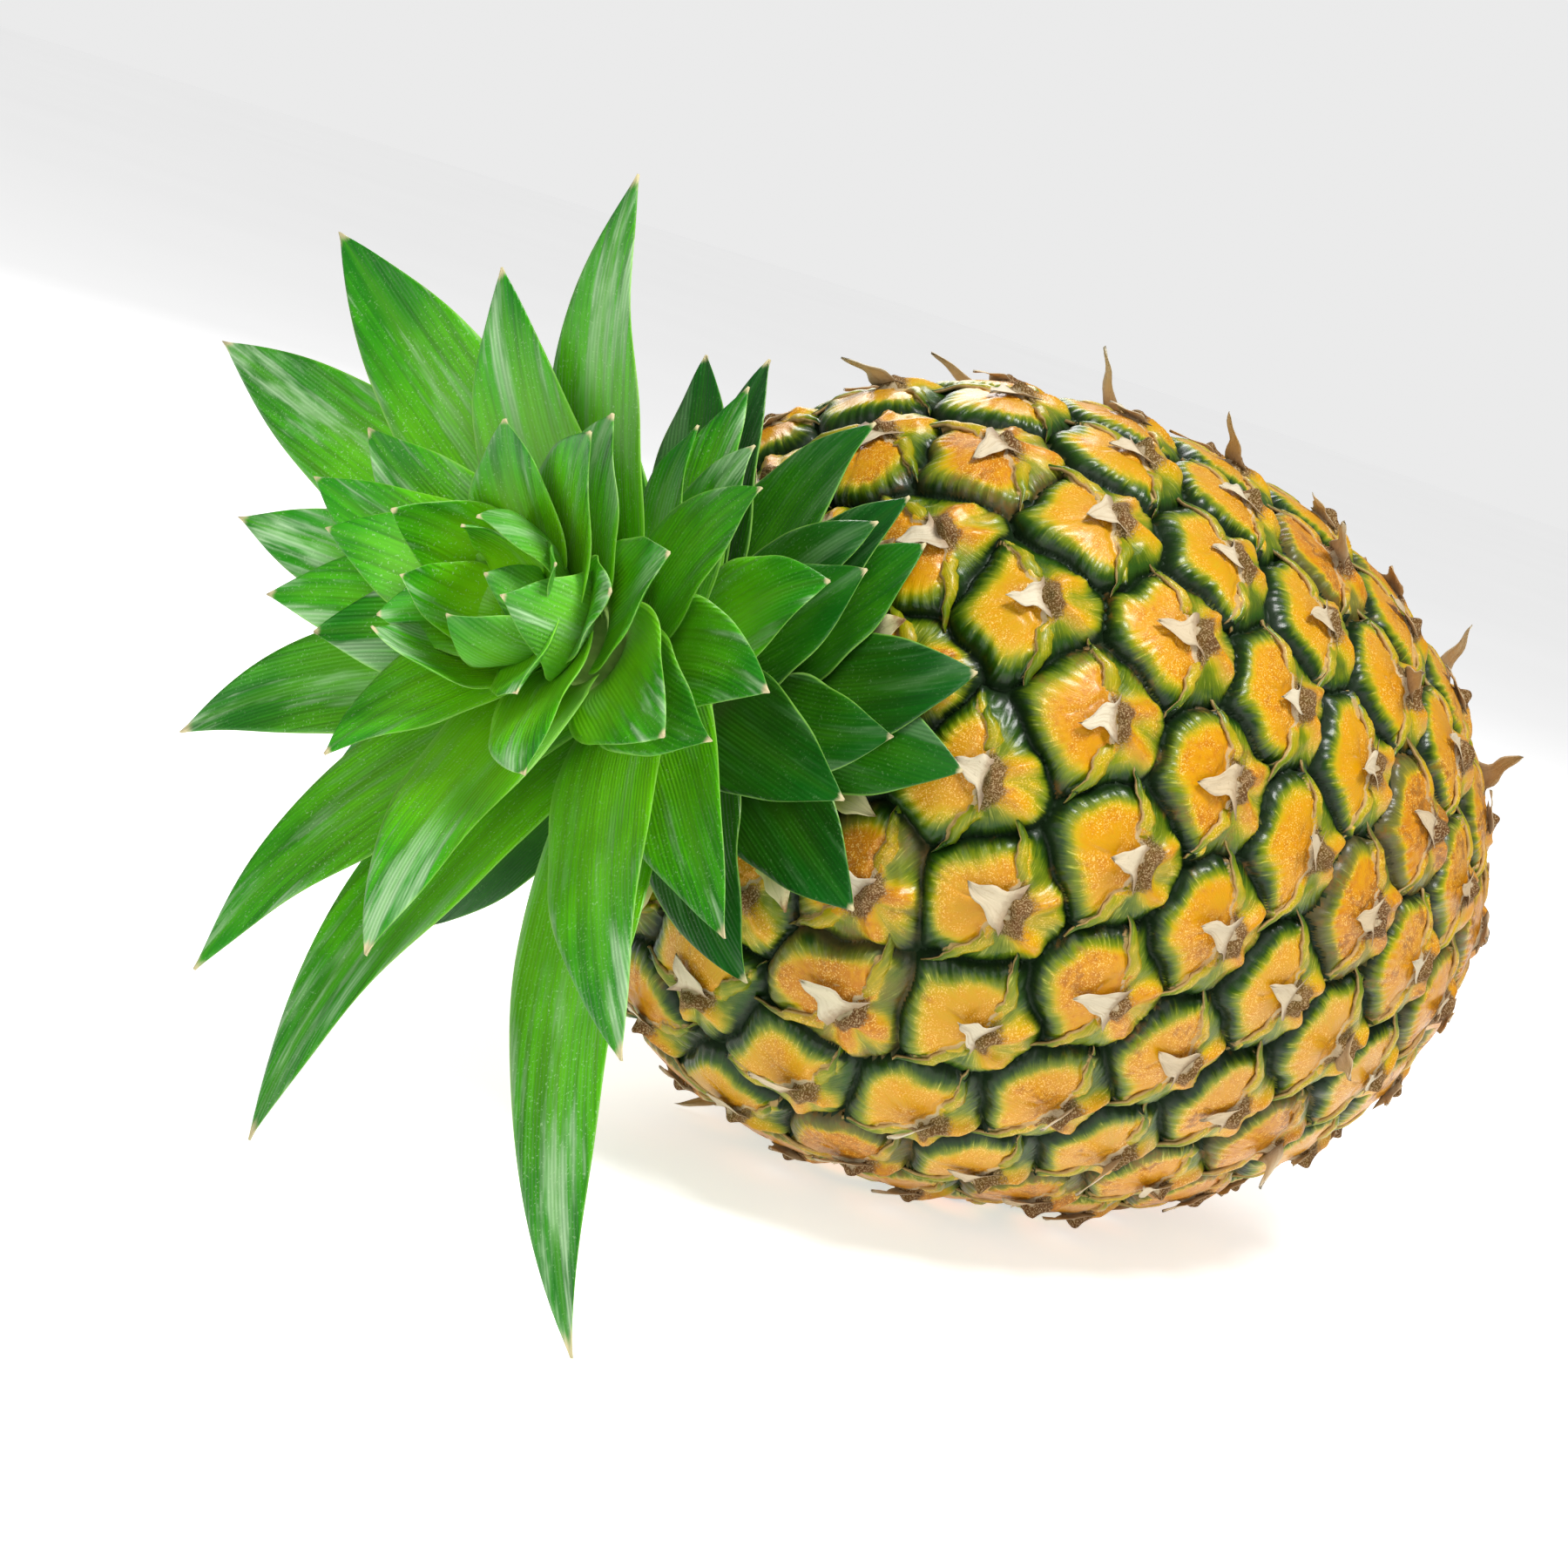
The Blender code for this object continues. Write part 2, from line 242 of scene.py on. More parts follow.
# Crown leaf colours; the first is a painted shade colour for leaves that lie in shade
LEAF_PAINTED_SHADE = (0.001, 0.036, 0.002, 1)
LEAF_GREEN = (0.030, 0.360, 0.003, 1)
LEAF_BRIGHT = (0.110, 0.560, 0.006, 1)
LEAF_STREAK = (0.003, 0.085, 0.003, 1)
LEAF_FOOT = (0.235, 0.640, 0.003, 1)
LEAF_MIDDLE = (0.180, 0.560, 0.020, 1)
LEAF_UNDER = (0.230, 0.560, 0.120, 1)
# The bloom colour is the leaves' real wax bloom, also used to paint their highlights
LEAF_BLOOM_AND_HIGHLIGHT = (0.500, 0.740, 0.420, 1)
LEAF_SCALES = (0.520, 0.780, 0.400, 1)
LEAF_MARGIN = (0.300, 0.620, 0.080, 1)
LEAF_END = (0.006, 0.120, 0.010, 1)
LEAF_TIP = (0.620, 0.520, 0.300, 1)
# Papery bract tip colours
PAPER_CREAM = (0.600, 0.530, 0.380, 1)
PAPER_OLD = (0.450, 0.290, 0.125, 1)
PAPER_VEIN = (0.360, 0.250, 0.130, 1)
PAPER_FOOT = (0.260, 0.160, 0.080, 1)
PAPER_FLECK = (0.240, 0.140, 0.060, 1)
# Basal bract colours
COLLAR_FOOT = (0.200, 0.420, 0.010, 1)
COLLAR_MIDDLE = (0.500, 0.560, 0.120, 1)
COLLAR_PALE = (0.660, 0.600, 0.330, 1)
COLLAR_VEIN = (0.250, 0.330, 0.040, 1)
COLLAR_TIP = (0.330, 0.180, 0.070, 1)
# Colours of the cut stalk's pith and bark
PITH_DARK = (0.330, 0.205, 0.080, 1)
PITH_LIGHT = (0.680, 0.520, 0.270, 1)
STRAND_BROWN = (0.130, 0.070, 0.025, 1)
PITH_STAIN = (0.220, 0.130, 0.050, 1)
BARK_RIM = (0.120, 0.065, 0.022, 1)
BARK_DARK = (0.120, 0.085, 0.020, 1)
BARK_LIGHT = (0.420, 0.360, 0.120, 1)
BARK_STAIN = (0.160, 0.085, 0.030, 1)
# Crown core colours
CORE_GREEN = (0.090, 0.240, 0.020, 1)
CORE_PALE = (0.420, 0.560, 0.140, 1)
# Floor colours
FLOOR_LOW = (0.86, 0.86, 0.86, 1)
FLOOR_HIGH = (0.90, 0.90, 0.90, 1)


class Flow:
    """A value in a material's node tree; arithmetic on it adds maths nodes."""

    def __init__(self, paint, socket):
        self.paint = paint
        self.socket = socket

    def __add__(self, other):
        return self.paint.maths("ADD", self, other)

    def __radd__(self, other):
        return self.paint.maths("ADD", other, self)

    def __sub__(self, other):
        return self.paint.maths("SUBTRACT", self, other)

    def __rsub__(self, other):
        return self.paint.maths("SUBTRACT", other, self)

    def __mul__(self, other):
        return self.paint.maths("MULTIPLY", self, other)

    def __rmul__(self, other):
        return self.paint.maths("MULTIPLY", other, self)


class Paint:
    """A material built node by node round one Principled shader."""

    def __init__(self, name):
        self.material = bpy.data.materials.new(name)
        self.material.use_nodes = True
        self.tree = self.material.node_tree
        self.shader = self.tree.nodes["Principled BSDF"]

    def feed(self, socket, value):
        if isinstance(value, Flow):
            self.tree.links.new(value.socket, socket)
        else:
            socket.default_value = value

    def node(self, kind, settings, inputs):
        made = self.tree.nodes.new(kind)
        for key, value in settings.items():
            setattr(made, key, value)
        for key, value in inputs.items():
            self.feed(made.inputs[key], value)
        return made

    def maths(self, operation, *values):
        inputs = dict(enumerate(values))
        made = self.node("ShaderNodeMath", {"operation": operation}, inputs)
        return Flow(self, made.outputs[0])

    def rise(self, value, low, high):
        """Rises smoothly from 0 at low to 1 at high."""
        inputs = {"Value": value, "From Min": low, "From Max": high}
        made = self.node("ShaderNodeMapRange", {"interpolation_type": "SMOOTHSTEP"}, inputs)
        return Flow(self, made.outputs[0])

    def noise(self, where, scale, detail=3.0, roughness=0.55):
        inputs = {"Vector": where, "Scale": scale, "Detail": detail, "Roughness": roughness}
        made = self.node("ShaderNodeTexNoise", {}, inputs)
        return Flow(self, made.outputs[0])

    def cells(self, where, scale):
        """Distance to the nearest of many scattered points."""
        made = self.node("ShaderNodeTexVoronoi", {}, {"Vector": where, "Scale": scale})
        return Flow(self, made.outputs["Distance"])

    def blend(self, share, low, high):
        """A colour between two colours."""
        settings = {"data_type": "RGBA"}
        made = self.node("ShaderNodeMix", settings, {0: share, 6: low, 7: high})
        return Flow(self, made.outputs[2])

    def place(self):
        """Object coordinates."""
        made = self.node("ShaderNodeTexCoord", {}, {})
        return Flow(self, made.outputs["Object"])

    def stored(self, name):
        """The three parts of a vector stored on the mesh."""
        made = self.node("ShaderNodeAttribute", {"attribute_name": name}, {})
        parts = self.node("ShaderNodeSeparateXYZ", {}, {0: Flow(self, made.outputs["Vector"])})
        return [Flow(self, part) for part in parts.outputs]

    def vector(self, x, y, z):
        made = self.node("ShaderNodeCombineXYZ", {}, {0: x, 1: y, 2: z})
        return Flow(self, made.outputs[0])

    def bump(self, height, distance, strength=1.0):
        inputs = {"Height": height, "Distance": distance, "Strength": strength}
        made = self.node("ShaderNodeBump", {}, inputs)
        return Flow(self, made.outputs[0])

    def finish(self, colour, roughness, normal=None, coat=None, **constants):
        self.feed(self.shader.inputs["Base Color"], colour)
        self.feed(self.shader.inputs["Roughness"], roughness)
        if normal is not None:
            self.feed(self.shader.inputs["Normal"], normal)
        if coat is not None:
            self.feed(self.shader.inputs["Coat Weight"], coat)
        for key, value in constants.items():
            self.shader.inputs[key.replace("_", " ")].default_value = value
        return self.material


def rind_paint():
    """Waxy rind: orange disks, green pleated rims, dark grooves deepened with painted shade, and
    dry, fuzzy bracts.
    """
    paint = Paint("rind_skin")
    across, along, depth = paint.stored("eye")
    warm, fuzz, edge = paint.stored("zone")
    tone, age, _ = paint.stored("tone")
    place = paint.place()

    patches = paint.noise(place, 210.0, 3.0)
    mottle = paint.noise(place, 900.0, 4.0, 0.65)
    grain = paint.noise(place, 4200.0, 2.0, 0.6)
    ray = paint.maths("ARCTAN2", across, along + 0.8)
    reach = paint.maths("SQRT", across * across + along * along)
    fibres = paint.noise(paint.vector(ray * 26.0, reach * 0.35, tone * 9.0), 1.0, 3.0, 0.6)

    ripe = warm + (patches - 0.5) * 0.50 + (fibres - 0.5) * 0.34
    ripe = ripe + (age - 0.5) * 0.16 + (tone - 0.5) * 0.20
    leafy = paint.rise(patches + (tone - 0.5) * 0.3 + (fibres - 0.5) * 0.3, 0.40, 0.66)
    leafy = paint.blend(leafy, LEAFY_DEEP, LEAFY_LIGHT)
    # Painted shade: within about 1.7 mm of the border between eyes, where the groove lies in shade,
    # the rind darkens to the near-black groove green.
    colour = paint.blend(paint.rise(depth + (fibres - 0.5) * 1.2, 0.2, 1.7), GROOVE_GREEN_AND_SHADE, leafy)
    colour = paint.blend(paint.rise(ripe, 0.04, 0.44), colour, RIM_OLIVE)
    colour = paint.blend(paint.rise(ripe, 0.32, 0.72), colour, RIPE_YELLOW)
    colour = paint.blend(paint.rise(ripe, 0.56, 1.00), colour, RIPE_AMBER)
    deep = paint.rise(mottle + (patches - 0.5) * 0.7 + (tone - 0.5) * 0.4, 0.42, 0.76)
    deep = deep * paint.rise(ripe, 0.6, 0.9)
    colour = paint.blend(deep * 0.75, colour, DEEP_AMBER)

    middle = (1.0 - paint.rise(reach + (fibres - 0.5) * 3.0, 1.5, 6.5)) * paint.rise(ripe, 0.6, 0.9)
    colour = paint.blend(middle * 0.45, colour, RUSSET)
    rim = paint.rise(ripe, 0.10, 0.35) * (1.0 - paint.rise(ripe, 0.50, 0.85))
    threads = paint.rise(fibres, 0.58, 0.74) * rim
    colour = paint.blend(threads * 0.55, colour, THREAD_YELLOW)
    spots = paint.rise(grain, 0.54, 0.64) * paint.rise(patches, 0.36, 0.56)
    spots = spots * paint.rise(ripe, 0.3, 0.7)
    colour = paint.blend(spots * 0.66, colour, SPOT_CREAM)
    worn = paint.rise(tone + (patches - 0.5) * 0.9 + age * 0.35, 0.74, 1.05)
    worn = worn * (1.0 - paint.rise(ripe, 0.35, 0.75))
    colour = paint.blend(worn * 0.60, colour, WORN_BROWN)
    bruise = paint.rise(patches + (tone - 0.5) * 0.2 + age * 0.08, 0.59, 0.72)
    bruise = bruise * paint.rise(mottle, 0.42, 0.6)
    colour = paint.blend(bruise * (0.35 + age * 0.50), colour, BRUISE_BROWN)

    woolly = paint.rise(fuzz + (mottle - 0.5) * 1.1 + (grain - 0.5) * 0.8, 0.34, 0.92)
    wool = paint.blend(paint.rise(grain, 0.46, 0.66), WOOL_DARK, WOOL_LIGHT)
    colour = paint.blend(woolly * 0.88, colour, wool)
    dry = paint.rise(edge + (mottle - 0.5) * 0.7, 0.30, 0.65)
    husk = paint.blend(mottle, HUSK_DARK, HUSK_LIGHT)
    husk = paint.blend((1.0 - paint.rise(reach, 1.5, 5.5)) * 0.75, husk, HUSK_PALE)
    colour = paint.blend(dry * 0.85, colour, husk)

    matt = paint.maths("MAXIMUM", woolly, dry)
    groove = 1.0 - paint.rise(depth, -0.2, 0.7)
    roughness = 0.33 + matt * 0.42 + (mottle - 0.5) * 0.26 + age * 0.08 + groove * 0.40
    height = mottle * 0.40 + grain * 0.14 + fibres * 0.45 * paint.rise(depth, 0.0, 1.5)
    height = height + woolly * grain * 0.9
    gloss = (1.0 - matt) * (1.0 - groove) * 0.17
    normal = paint.bump(height, 0.00028, 0.75)
    return paint.finish(
        colour, roughness, normal, gloss, Coat_Roughness=0.17, Specular_IOR_Level=0.20
    )


def leaf_paint():
    """Crown leaf: finely ribbed green blade, dusted with pale scales, with a dry margin and tip;
    painted shade darkens the low leaves, and the bloom also paints highlights.
    """
    paint = Paint("leaf_skin")
    share, across, under = paint.stored("blade")
    # The tone vector holds a random tone, then the leaf's painted light level, which paints the low
    # leaves into shade, then its tier.
    tone, painted_light_and_tone, tier = paint.stored("tone")
    wide, long, _ = paint.stored("ribs")
    place = paint.place()

    streaks = paint.noise(paint.vector(wide * 1.1, long * 0.03, tone * 30.0), 1.0, 3.0, 0.6)
    ribs = paint.maths("SINE", wide * 10.5 + (streaks - 0.5) * 2.0) * 0.5 + 0.5
    patches = paint.noise(place, 75.0, 3.0)
    dust = paint.noise(place, 2600.0, 2.0, 0.7)
    clouds = paint.noise(paint.vector(wide * 0.22, long * 0.035, tone * 17.0), 1.0, 4.0, 0.6)

    # Painted shade: the low leaves lie in shade. This factor dims their bright middle, pale
    # underside, bloom and scales. The light level below darkens their body towards a near-black
    # shade green and takes away their bright patches.
    light = 0.25 + 0.75 * paint.rise(tier, 0.25, 0.6)
    body = paint.blend(paint.rise(painted_light_and_tone, 0.0, 1.0), LEAF_PAINTED_SHADE, LEAF_GREEN)
    colour = paint.blend(paint.rise(patches, 0.34, 0.66) * painted_light_and_tone * 0.75, body, LEAF_BRIGHT)
    colour = paint.blend(paint.rise(streaks, 0.34, 0.68) * 0.72, colour, LEAF_STREAK)
    # The yellow-green foot is the leaf's own colour, faded out on the low leaves as painted shade.
    base = 1.0 - paint.rise(share + (clouds - 0.5) * 0.45, 0.16, 0.86)
    colour = paint.blend(base * (tier - 0.20) * 1.1, colour, LEAF_FOOT)
    side = paint.maths("ABSOLUTE", across)
    middle = (1.0 - paint.rise(side, 0.0, 0.35)) * paint.rise(share, 0.05, 0.3)
    colour = paint.blend(middle * 0.22 * light, colour, LEAF_MIDDLE)
    lower = paint.rise(under, 0.4, 0.6)
    pale = lower * (0.12 + 0.26 * ribs + 0.30 * paint.rise(clouds, 0.35, 0.65)) * light
    colour = paint.blend(pale, colour, LEAF_UNDER)
    # The wax bloom is real, and it is also made strong to paint the leaves' highlights; on the low
    # leaves painted shade dims it.
    hazy = 0.14 + 0.58 * paint.rise(share, 0.35, 0.90) + 0.34 * lower
    bloom_and_highlight = paint.rise(clouds + (streaks - 0.5) * 0.35, 0.50, 0.67) * hazy * light
    colour = paint.blend(bloom_and_highlight * (0.7 + 0.4 * ribs), colour, LEAF_BLOOM_AND_HIGHLIGHT)
    scales = paint.rise(dust, 0.60, 0.70) * paint.rise(patches, 0.26, 0.60) * light
    colour = paint.blend(scales * 0.50, colour, LEAF_SCALES)
    margin = paint.rise(side + (clouds - 0.5) * 0.10, 0.955, 1.0)
    colour = paint.blend(margin * 0.50, colour, LEAF_MARGIN)
    colour = paint.blend(paint.rise(share, 0.55, 1.0) * (1.0 - bloom_and_highlight) * 0.45, colour, LEAF_END)
    tip = paint.rise(share + (streaks - 0.5) * 0.05 + (clouds - 0.5) * 0.04, 0.960, 0.990)
    colour = paint.blend(tip * 0.9, colour, LEAF_TIP)

    roughness = 0.36 + (clouds - 0.5) * 0.25 + bloom_and_highlight * 0.5 + tip * 0.3 + scales * 0.2
    height = ribs * 0.35 + streaks * 0.55 + scales * 0.4
    gloss = 0.16 * (1.0 - tip)
    normal = paint.bump(height, 0.00022, 0.55)
    return paint.finish(
        colour, roughness, normal, gloss, Coat_Roughness=0.22, Specular_IOR_Level=0.20
    )


def paper_paint():
    """Dry papery bract tip: cream, finely veined, browner towards its foot and on old eyes."""
    paint = Paint("paper_skin")
    share, across, _ = paint.stored("blade")
    tone, age, _ = paint.stored("tone")
    place = paint.place()
    veins = paint.noise(paint.vector(across * 5.0, share * 1.2, tone * 40.0), 1.0, 4.0, 0.65)
    mottle = paint.noise(place, 1500.0, 3.0, 0.6)
    cream = paint.blend(age, PAPER_CREAM, PAPER_OLD)
    colour = paint.blend(paint.rise(veins, 0.48, 0.72) * 0.55, cream, PAPER_VEIN)
    foot = 1.0 - paint.rise(share + (mottle - 0.5) * 0.3, 0.02, 0.32)
    colour = paint.blend(foot * 0.75, colour, PAPER_FOOT)
    colour = paint.blend(paint.rise(mottle, 0.62, 0.72) * 0.3, colour, PAPER_FLECK)
    height = veins * 0.8 + mottle * 0.4
    return paint.finish(colour, 0.62 + (mottle - 0.5) * 0.3, paint.bump(height, 0.00025, 0.7))


def collar_paint():
    """Basal bract: pale yellow-green and papery, green at the foot, brown and dry at the tip."""
    paint = Paint("collar_skin")
    share, across, _ = paint.stored("blade")
    tone, age, _ = paint.stored("tone")
    place = paint.place()
    veins = paint.noise(paint.vector(across * 9.0, share * 1.0, tone * 40.0), 1.0, 4.0, 0.65)
    mottle = paint.noise(place, 900.0, 3.0, 0.6)
    ripe = paint.rise(share + (veins - 0.5) * 0.4, 0.05, 0.50)
    colour = paint.blend(ripe, COLLAR_FOOT, COLLAR_MIDDLE)
    faded = paint.rise(share + (veins - 0.5) * 0.5 + age * 0.3, 0.50, 0.95)
    colour = paint.blend(faded, colour, COLLAR_PALE)
    colour = paint.blend(paint.rise(veins, 0.48, 0.70) * 0.40, colour, COLLAR_VEIN)
    dry = paint.rise(share + (mottle - 0.5) * 0.4 + age * 0.2, 0.92, 1.12)
    colour = paint.blend(dry, colour, COLLAR_TIP)
    height = veins * 0.8 + mottle * 0.3
    roughness = 0.55 + (mottle - 0.5) * 0.3
    return paint.finish(colour, roughness, paint.bump(height, 0.00025, 0.7), Specular_IOR_Level=0.3)


def stalk_paint():
    """Dry cut stalk: a pale fibrous face dotted with strands, and a brown-green furrowed bark."""
    paint = Paint("stalk_skin")
    share, rise, turn = paint.stored("cut")
    place = paint.place()
    strands = paint.cells(place, 900.0)
    grain = paint.noise(place, 1800.0, 4.0, 0.65)
    patches = paint.noise(place, 180.0, 3.0)
    lengths = paint.noise(paint.vector(turn * 16.0, rise * 0.10, 0.0), 1.0, 4.0, 0.65)
    face = paint.blend(grain, PITH_DARK, PITH_LIGHT)
    dots = 1.0 - paint.rise(strands, 0.16, 0.34)
    face = paint.blend(dots * 0.65, face, STRAND_BROWN)
    face = paint.blend(paint.rise(patches, 0.45, 0.70) * 0.55, face, PITH_STAIN)
    ring = paint.rise(share + (grain - 0.5) * 0.10, 0.84, 0.93)
    face = paint.blend(ring * 0.8, face, BARK_RIM)
    bark = paint.blend(lengths, BARK_DARK, BARK_LIGHT)
    bark = paint.blend(paint.rise(patches, 0.45, 0.70) * 0.7, bark, BARK_STAIN)
    side = paint.rise(rise, 0.3, 0.9)
    colour = paint.blend(side, face, bark)
    height = grain * 0.5 + lengths * side * 1.5 + dots * 0.4
    roughness = 0.72 + (grain - 0.5) * 0.25
    return paint.finish(colour, roughness, paint.bump(height, 0.0005, 0.8), Specular_IOR_Level=0.3)


def core_paint():
    """Pale green crown stem between the leaf bases."""
    paint = Paint("core_skin")
    place = paint.place()
    patches = paint.noise(place, 260.0, 4.0, 0.6)
    colour = paint.blend(patches, CORE_GREEN, CORE_PALE)
    return paint.finish(colour, 0.55 + (patches - 0.5) * 0.2, paint.bump(patches, 0.0005, 0.6))


# -----------------------------------------------------------------------------
# Meshes
# -----------------------------------------------------------------------------
def new_piece(name, mesh, paint):
    """Shades a finished mesh smooth, paints it and adds it to the pineapple."""
    mesh.shade_smooth()
    mesh.materials.append(paint)
    item = bpy.data.objects.new(name, mesh)
    bpy.context.scene.collection.objects.link(item)
    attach(item, "root")
    return item


def relief_mesh(name, points, quads, stored):
    """A mesh of the rind's displaced points, with vectors for its material stored on them."""
    mesh = bpy.data.meshes.new(name)
    mesh.vertices.add(len(points))
    mesh.vertices.foreach_set("co", points.astype(np.float32).ravel())
    mesh.loops.add(len(quads) * 4)
    mesh.loops.foreach_set("vertex_index", quads.astype(np.int32).ravel())
    mesh.polygons.add(len(quads))
    mesh.polygons.foreach_set("loop_start", np.arange(len(quads), dtype=np.int32) * 4)
    mesh.update(calc_edges=True)
    mesh.validate()
    for key, values in stored.items():
        made = mesh.attributes.new(key, "FLOAT_VECTOR", "POINT")
        made.data.foreach_set("vector", values.astype(np.float32).ravel())
    return mesh


def add_sheet(shape, rows, columns, spot):
    """Adds a flat grid, extruded once into a closed sheet: its upper points, then its lower."""
    first_point, first_edge, first_face = len(shape.verts), len(shape.edges), len(shape.faces)
    made = bmesh.ops.create_grid(shape, x_segments=columns - 1, y_segments=rows - 1, size=1.0)
    upper = made["verts"]
    for number, point in enumerate(upper):
        point[spot] = number
    shape.edges.ensure_lookup_table()
    shape.faces.ensure_lookup_table()
    flat = upper + shape.edges[first_edge:] + shape.faces[first_face:]
    bmesh.ops.extrude_face_region(shape, geom=flat, use_keep_orig=True)
    shape.verts.ensure_lookup_table()
    shape.faces.ensure_lookup_table()
    lower = shape.verts[first_point + rows * columns:]
    bmesh.ops.translate(shape, verts=lower, vec=(0.0, 0.0, -1.0))
    bmesh.ops.recalc_face_normals(shape, faces=shape.faces[first_face:])
    return upper + sorted(lower, key=lambda point: point[spot])


def runs_backwards(grid):
    """Whether a sheet's columns run the way that would turn its faces inwards."""
    corner = grid[0, :-1, :-1]
    across, along = grid[0, :-1, 1:] - corner, grid[0, 1:, :-1] - corner
    upwards = corner - grid[1, :-1, :-1]
    return np.sum(np.cross(across, along) * upwards) < 0.0


def sheet_mesh(name, rows, columns, points, stored):
    """A mesh of closed sheets that share one grid, with vectors for their material stored.

    The points and the stored vectors run sheet by sheet: the upper grid row by row, then the lower.
    """
    shape = bmesh.new()
    spot = shape.verts.layers.int.new("spot")
    layers = [shape.verts.layers.float_vector.new(key) for key in stored]
    parts = [part.reshape(-1, 2, rows, columns, 3) for part in (points, *stored.values())]
    for grids in zip(*parts):
        if runs_backwards(grids[0]):
            grids = [grid[:, :, ::-1] for grid in grids]
        places, *vectors = [grid.reshape(-1, 3).tolist() for grid in grids]
        for number, point in enumerate(add_sheet(shape, rows, columns, spot)):
            point.co = places[number]
            for layer, values in zip(layers, vectors):
                point[layer] = values[number]
    shape.verts.layers.int.remove(spot)
    mesh = bpy.data.meshes.new(name)
    shape.to_mesh(mesh)
    shape.free()
    return mesh


# -----------------------------------------------------------------------------
# The rind
# -----------------------------------------------------------------------------
def eye_table():
    """Centre, tangents and normal of every eye, in the fruit's own frame, and its random traits."""
    heights, _, area_above = barrel_samples(-STALK_END, CROWN_END)
    reference_area = float(np.interp(REFERENCE_EYE_HEIGHT, heights, area_above))
    first = -int(reference_area / EYE_AREA)
    last = int((area_above[0] - reference_area) / EYE_AREA)
    numbers = np.arange(first, last + 1)
    areas = reference_area + numbers * EYE_AREA
    z = np.interp(areas, area_above[::-1], heights[::-1])
    angle = np.radians(REFERENCE_EYE_ANGLE + EYE_TURN * numbers)
    radius = np.array([shoulder(value) for value in z])
    slope = np.array([(shoulder(v + 1e-5) - shoulder(v - 1e-5)) / 2e-5 for v in z])
    slope = np.clip(slope, -6.0, 6.0)
    centres = np.stack([radius * np.cos(angle), radius * np.sin(angle), z], axis=1)
    up = np.stack([slope * np.cos(angle), slope * np.sin(angle), np.ones_like(z)], axis=1)
    up /= np.linalg.norm(up, axis=1)[:, None]
    side = np.stack([-np.sin(angle), np.cos(angle), np.zeros_like(z)], axis=1)
    out = np.cross(side, up)
    age = np.clip((NECK_HEIGHT - z) / (NECK_HEIGHT - BASE_HEIGHT), 0.0, 1.0)
    return {
        "number": numbers - first, "centre": centres, "up": up, "side": side, "out": out, "age": age
    }


EYES = eye_table()
EYE_COUNT = len(EYES["number"])
TRAIT = np.random.default_rng(EYE_SEED).random((EYE_COUNT, 12))


def turned_profile(radius, height, cos, sin):
    """A profile turned about the fruit's axis."""
    level = np.outer(height, np.ones_like(cos))
    turned = np.stack([np.outer(radius, cos), np.outer(radius, sin), level], axis=2)
    return turned.reshape(-1, 3)


def rind_surface():
    """Smooth barrel points and normals on a grid from the neck to the base."""
    heights = np.linspace(NECK_HEIGHT, BASE_HEIGHT, 2000)
    radii = np.array([shoulder(z) for z in heights])
    radii = np.concatenate(([0.0], radii, [0.0]))
    heights = np.concatenate(([NECK_HEIGHT - NECK_DISH], heights, [BASE_HEIGHT + BASE_DISH]))
    steps = np.hypot(np.diff(radii), np.diff(heights))
    travelled = np.concatenate(([0.0], np.cumsum(steps)))
    wanted = np.linspace(0.009, travelled[-1] - 0.007, RIND_ROWS + 1)
    ring_radius = np.interp(wanted, travelled, radii)
    ring_height = np.interp(wanted, travelled, heights)
    out_r = -np.gradient(ring_height)
    out_z = np.gradient(ring_radius)
    size = np.hypot(out_r, out_z)
    out_r, out_z = out_r / size, out_z / size
    angle = np.arange(RIND_COLUMNS) * (2.0 * math.pi / RIND_COLUMNS)
    cos, sin = np.cos(angle), np.sin(angle)
    points = turned_profile(ring_radius, ring_height, cos, sin)
    normals = turned_profile(out_r, out_z, cos, sin)
    fade = ramp(wanted, 0.012, 0.020) * ramp(travelled[-1] - wanted, 0.010, 0.018)
    return points, normals, np.repeat(fade, RIND_COLUMNS)


def barrel_quads():
    """Faces of the rind's grid, each by its four points; the last column joins the first."""
    row, column = np.meshgrid(np.arange(RIND_ROWS), np.arange(RIND_COLUMNS), indexing="ij")
    after = (column + 1) % RIND_COLUMNS
    here, below = row * RIND_COLUMNS, (row + 1) * RIND_COLUMNS
    corners = (here + column, below + column, below + after, here + after)
    return np.stack([corner.ravel() for corner in corners], axis=1)


def nearest_eyes(points):
    """The eye each point belongs to, and about how many mm it is from the nearest two borders.

    An eye reaches further towards the crown than towards the stalk, so its crown side is rounded.
    """
    centres = EYES["centre"] * 1000.0
    lengths = (centres ** 2).sum(axis=1)
    levels = (centres * EYES["up"]).sum(axis=1)
    nearest = np.empty(len(points), np.int32)
    borders = np.empty((len(points), 2))
    for start in range(0, len(points), BATCH):
        part = points[start:start + BATCH]
        gaps = (part ** 2).sum(axis=1)[:, None] + lengths[None] - 2.0 * part @ centres.T
        gaps = np.sqrt(np.maximum(gaps, 1e-6))
        gaps -= EYE_LEAN * (part @ EYES["up"].T - levels[None])
        order = np.argpartition(gaps, 3, axis=1)[:, :3]
        near = np.take_along_axis(gaps, order, axis=1)
        ranks = np.argsort(near, axis=1)
        near = np.take_along_axis(near, ranks, axis=1)
        nearest[start:start + BATCH] = np.take_along_axis(order, ranks, axis=1)[:, 0]
        borders[start:start + BATCH] = (near[:, 1:] - near[:, :1]) / 2.0
    return nearest, borders


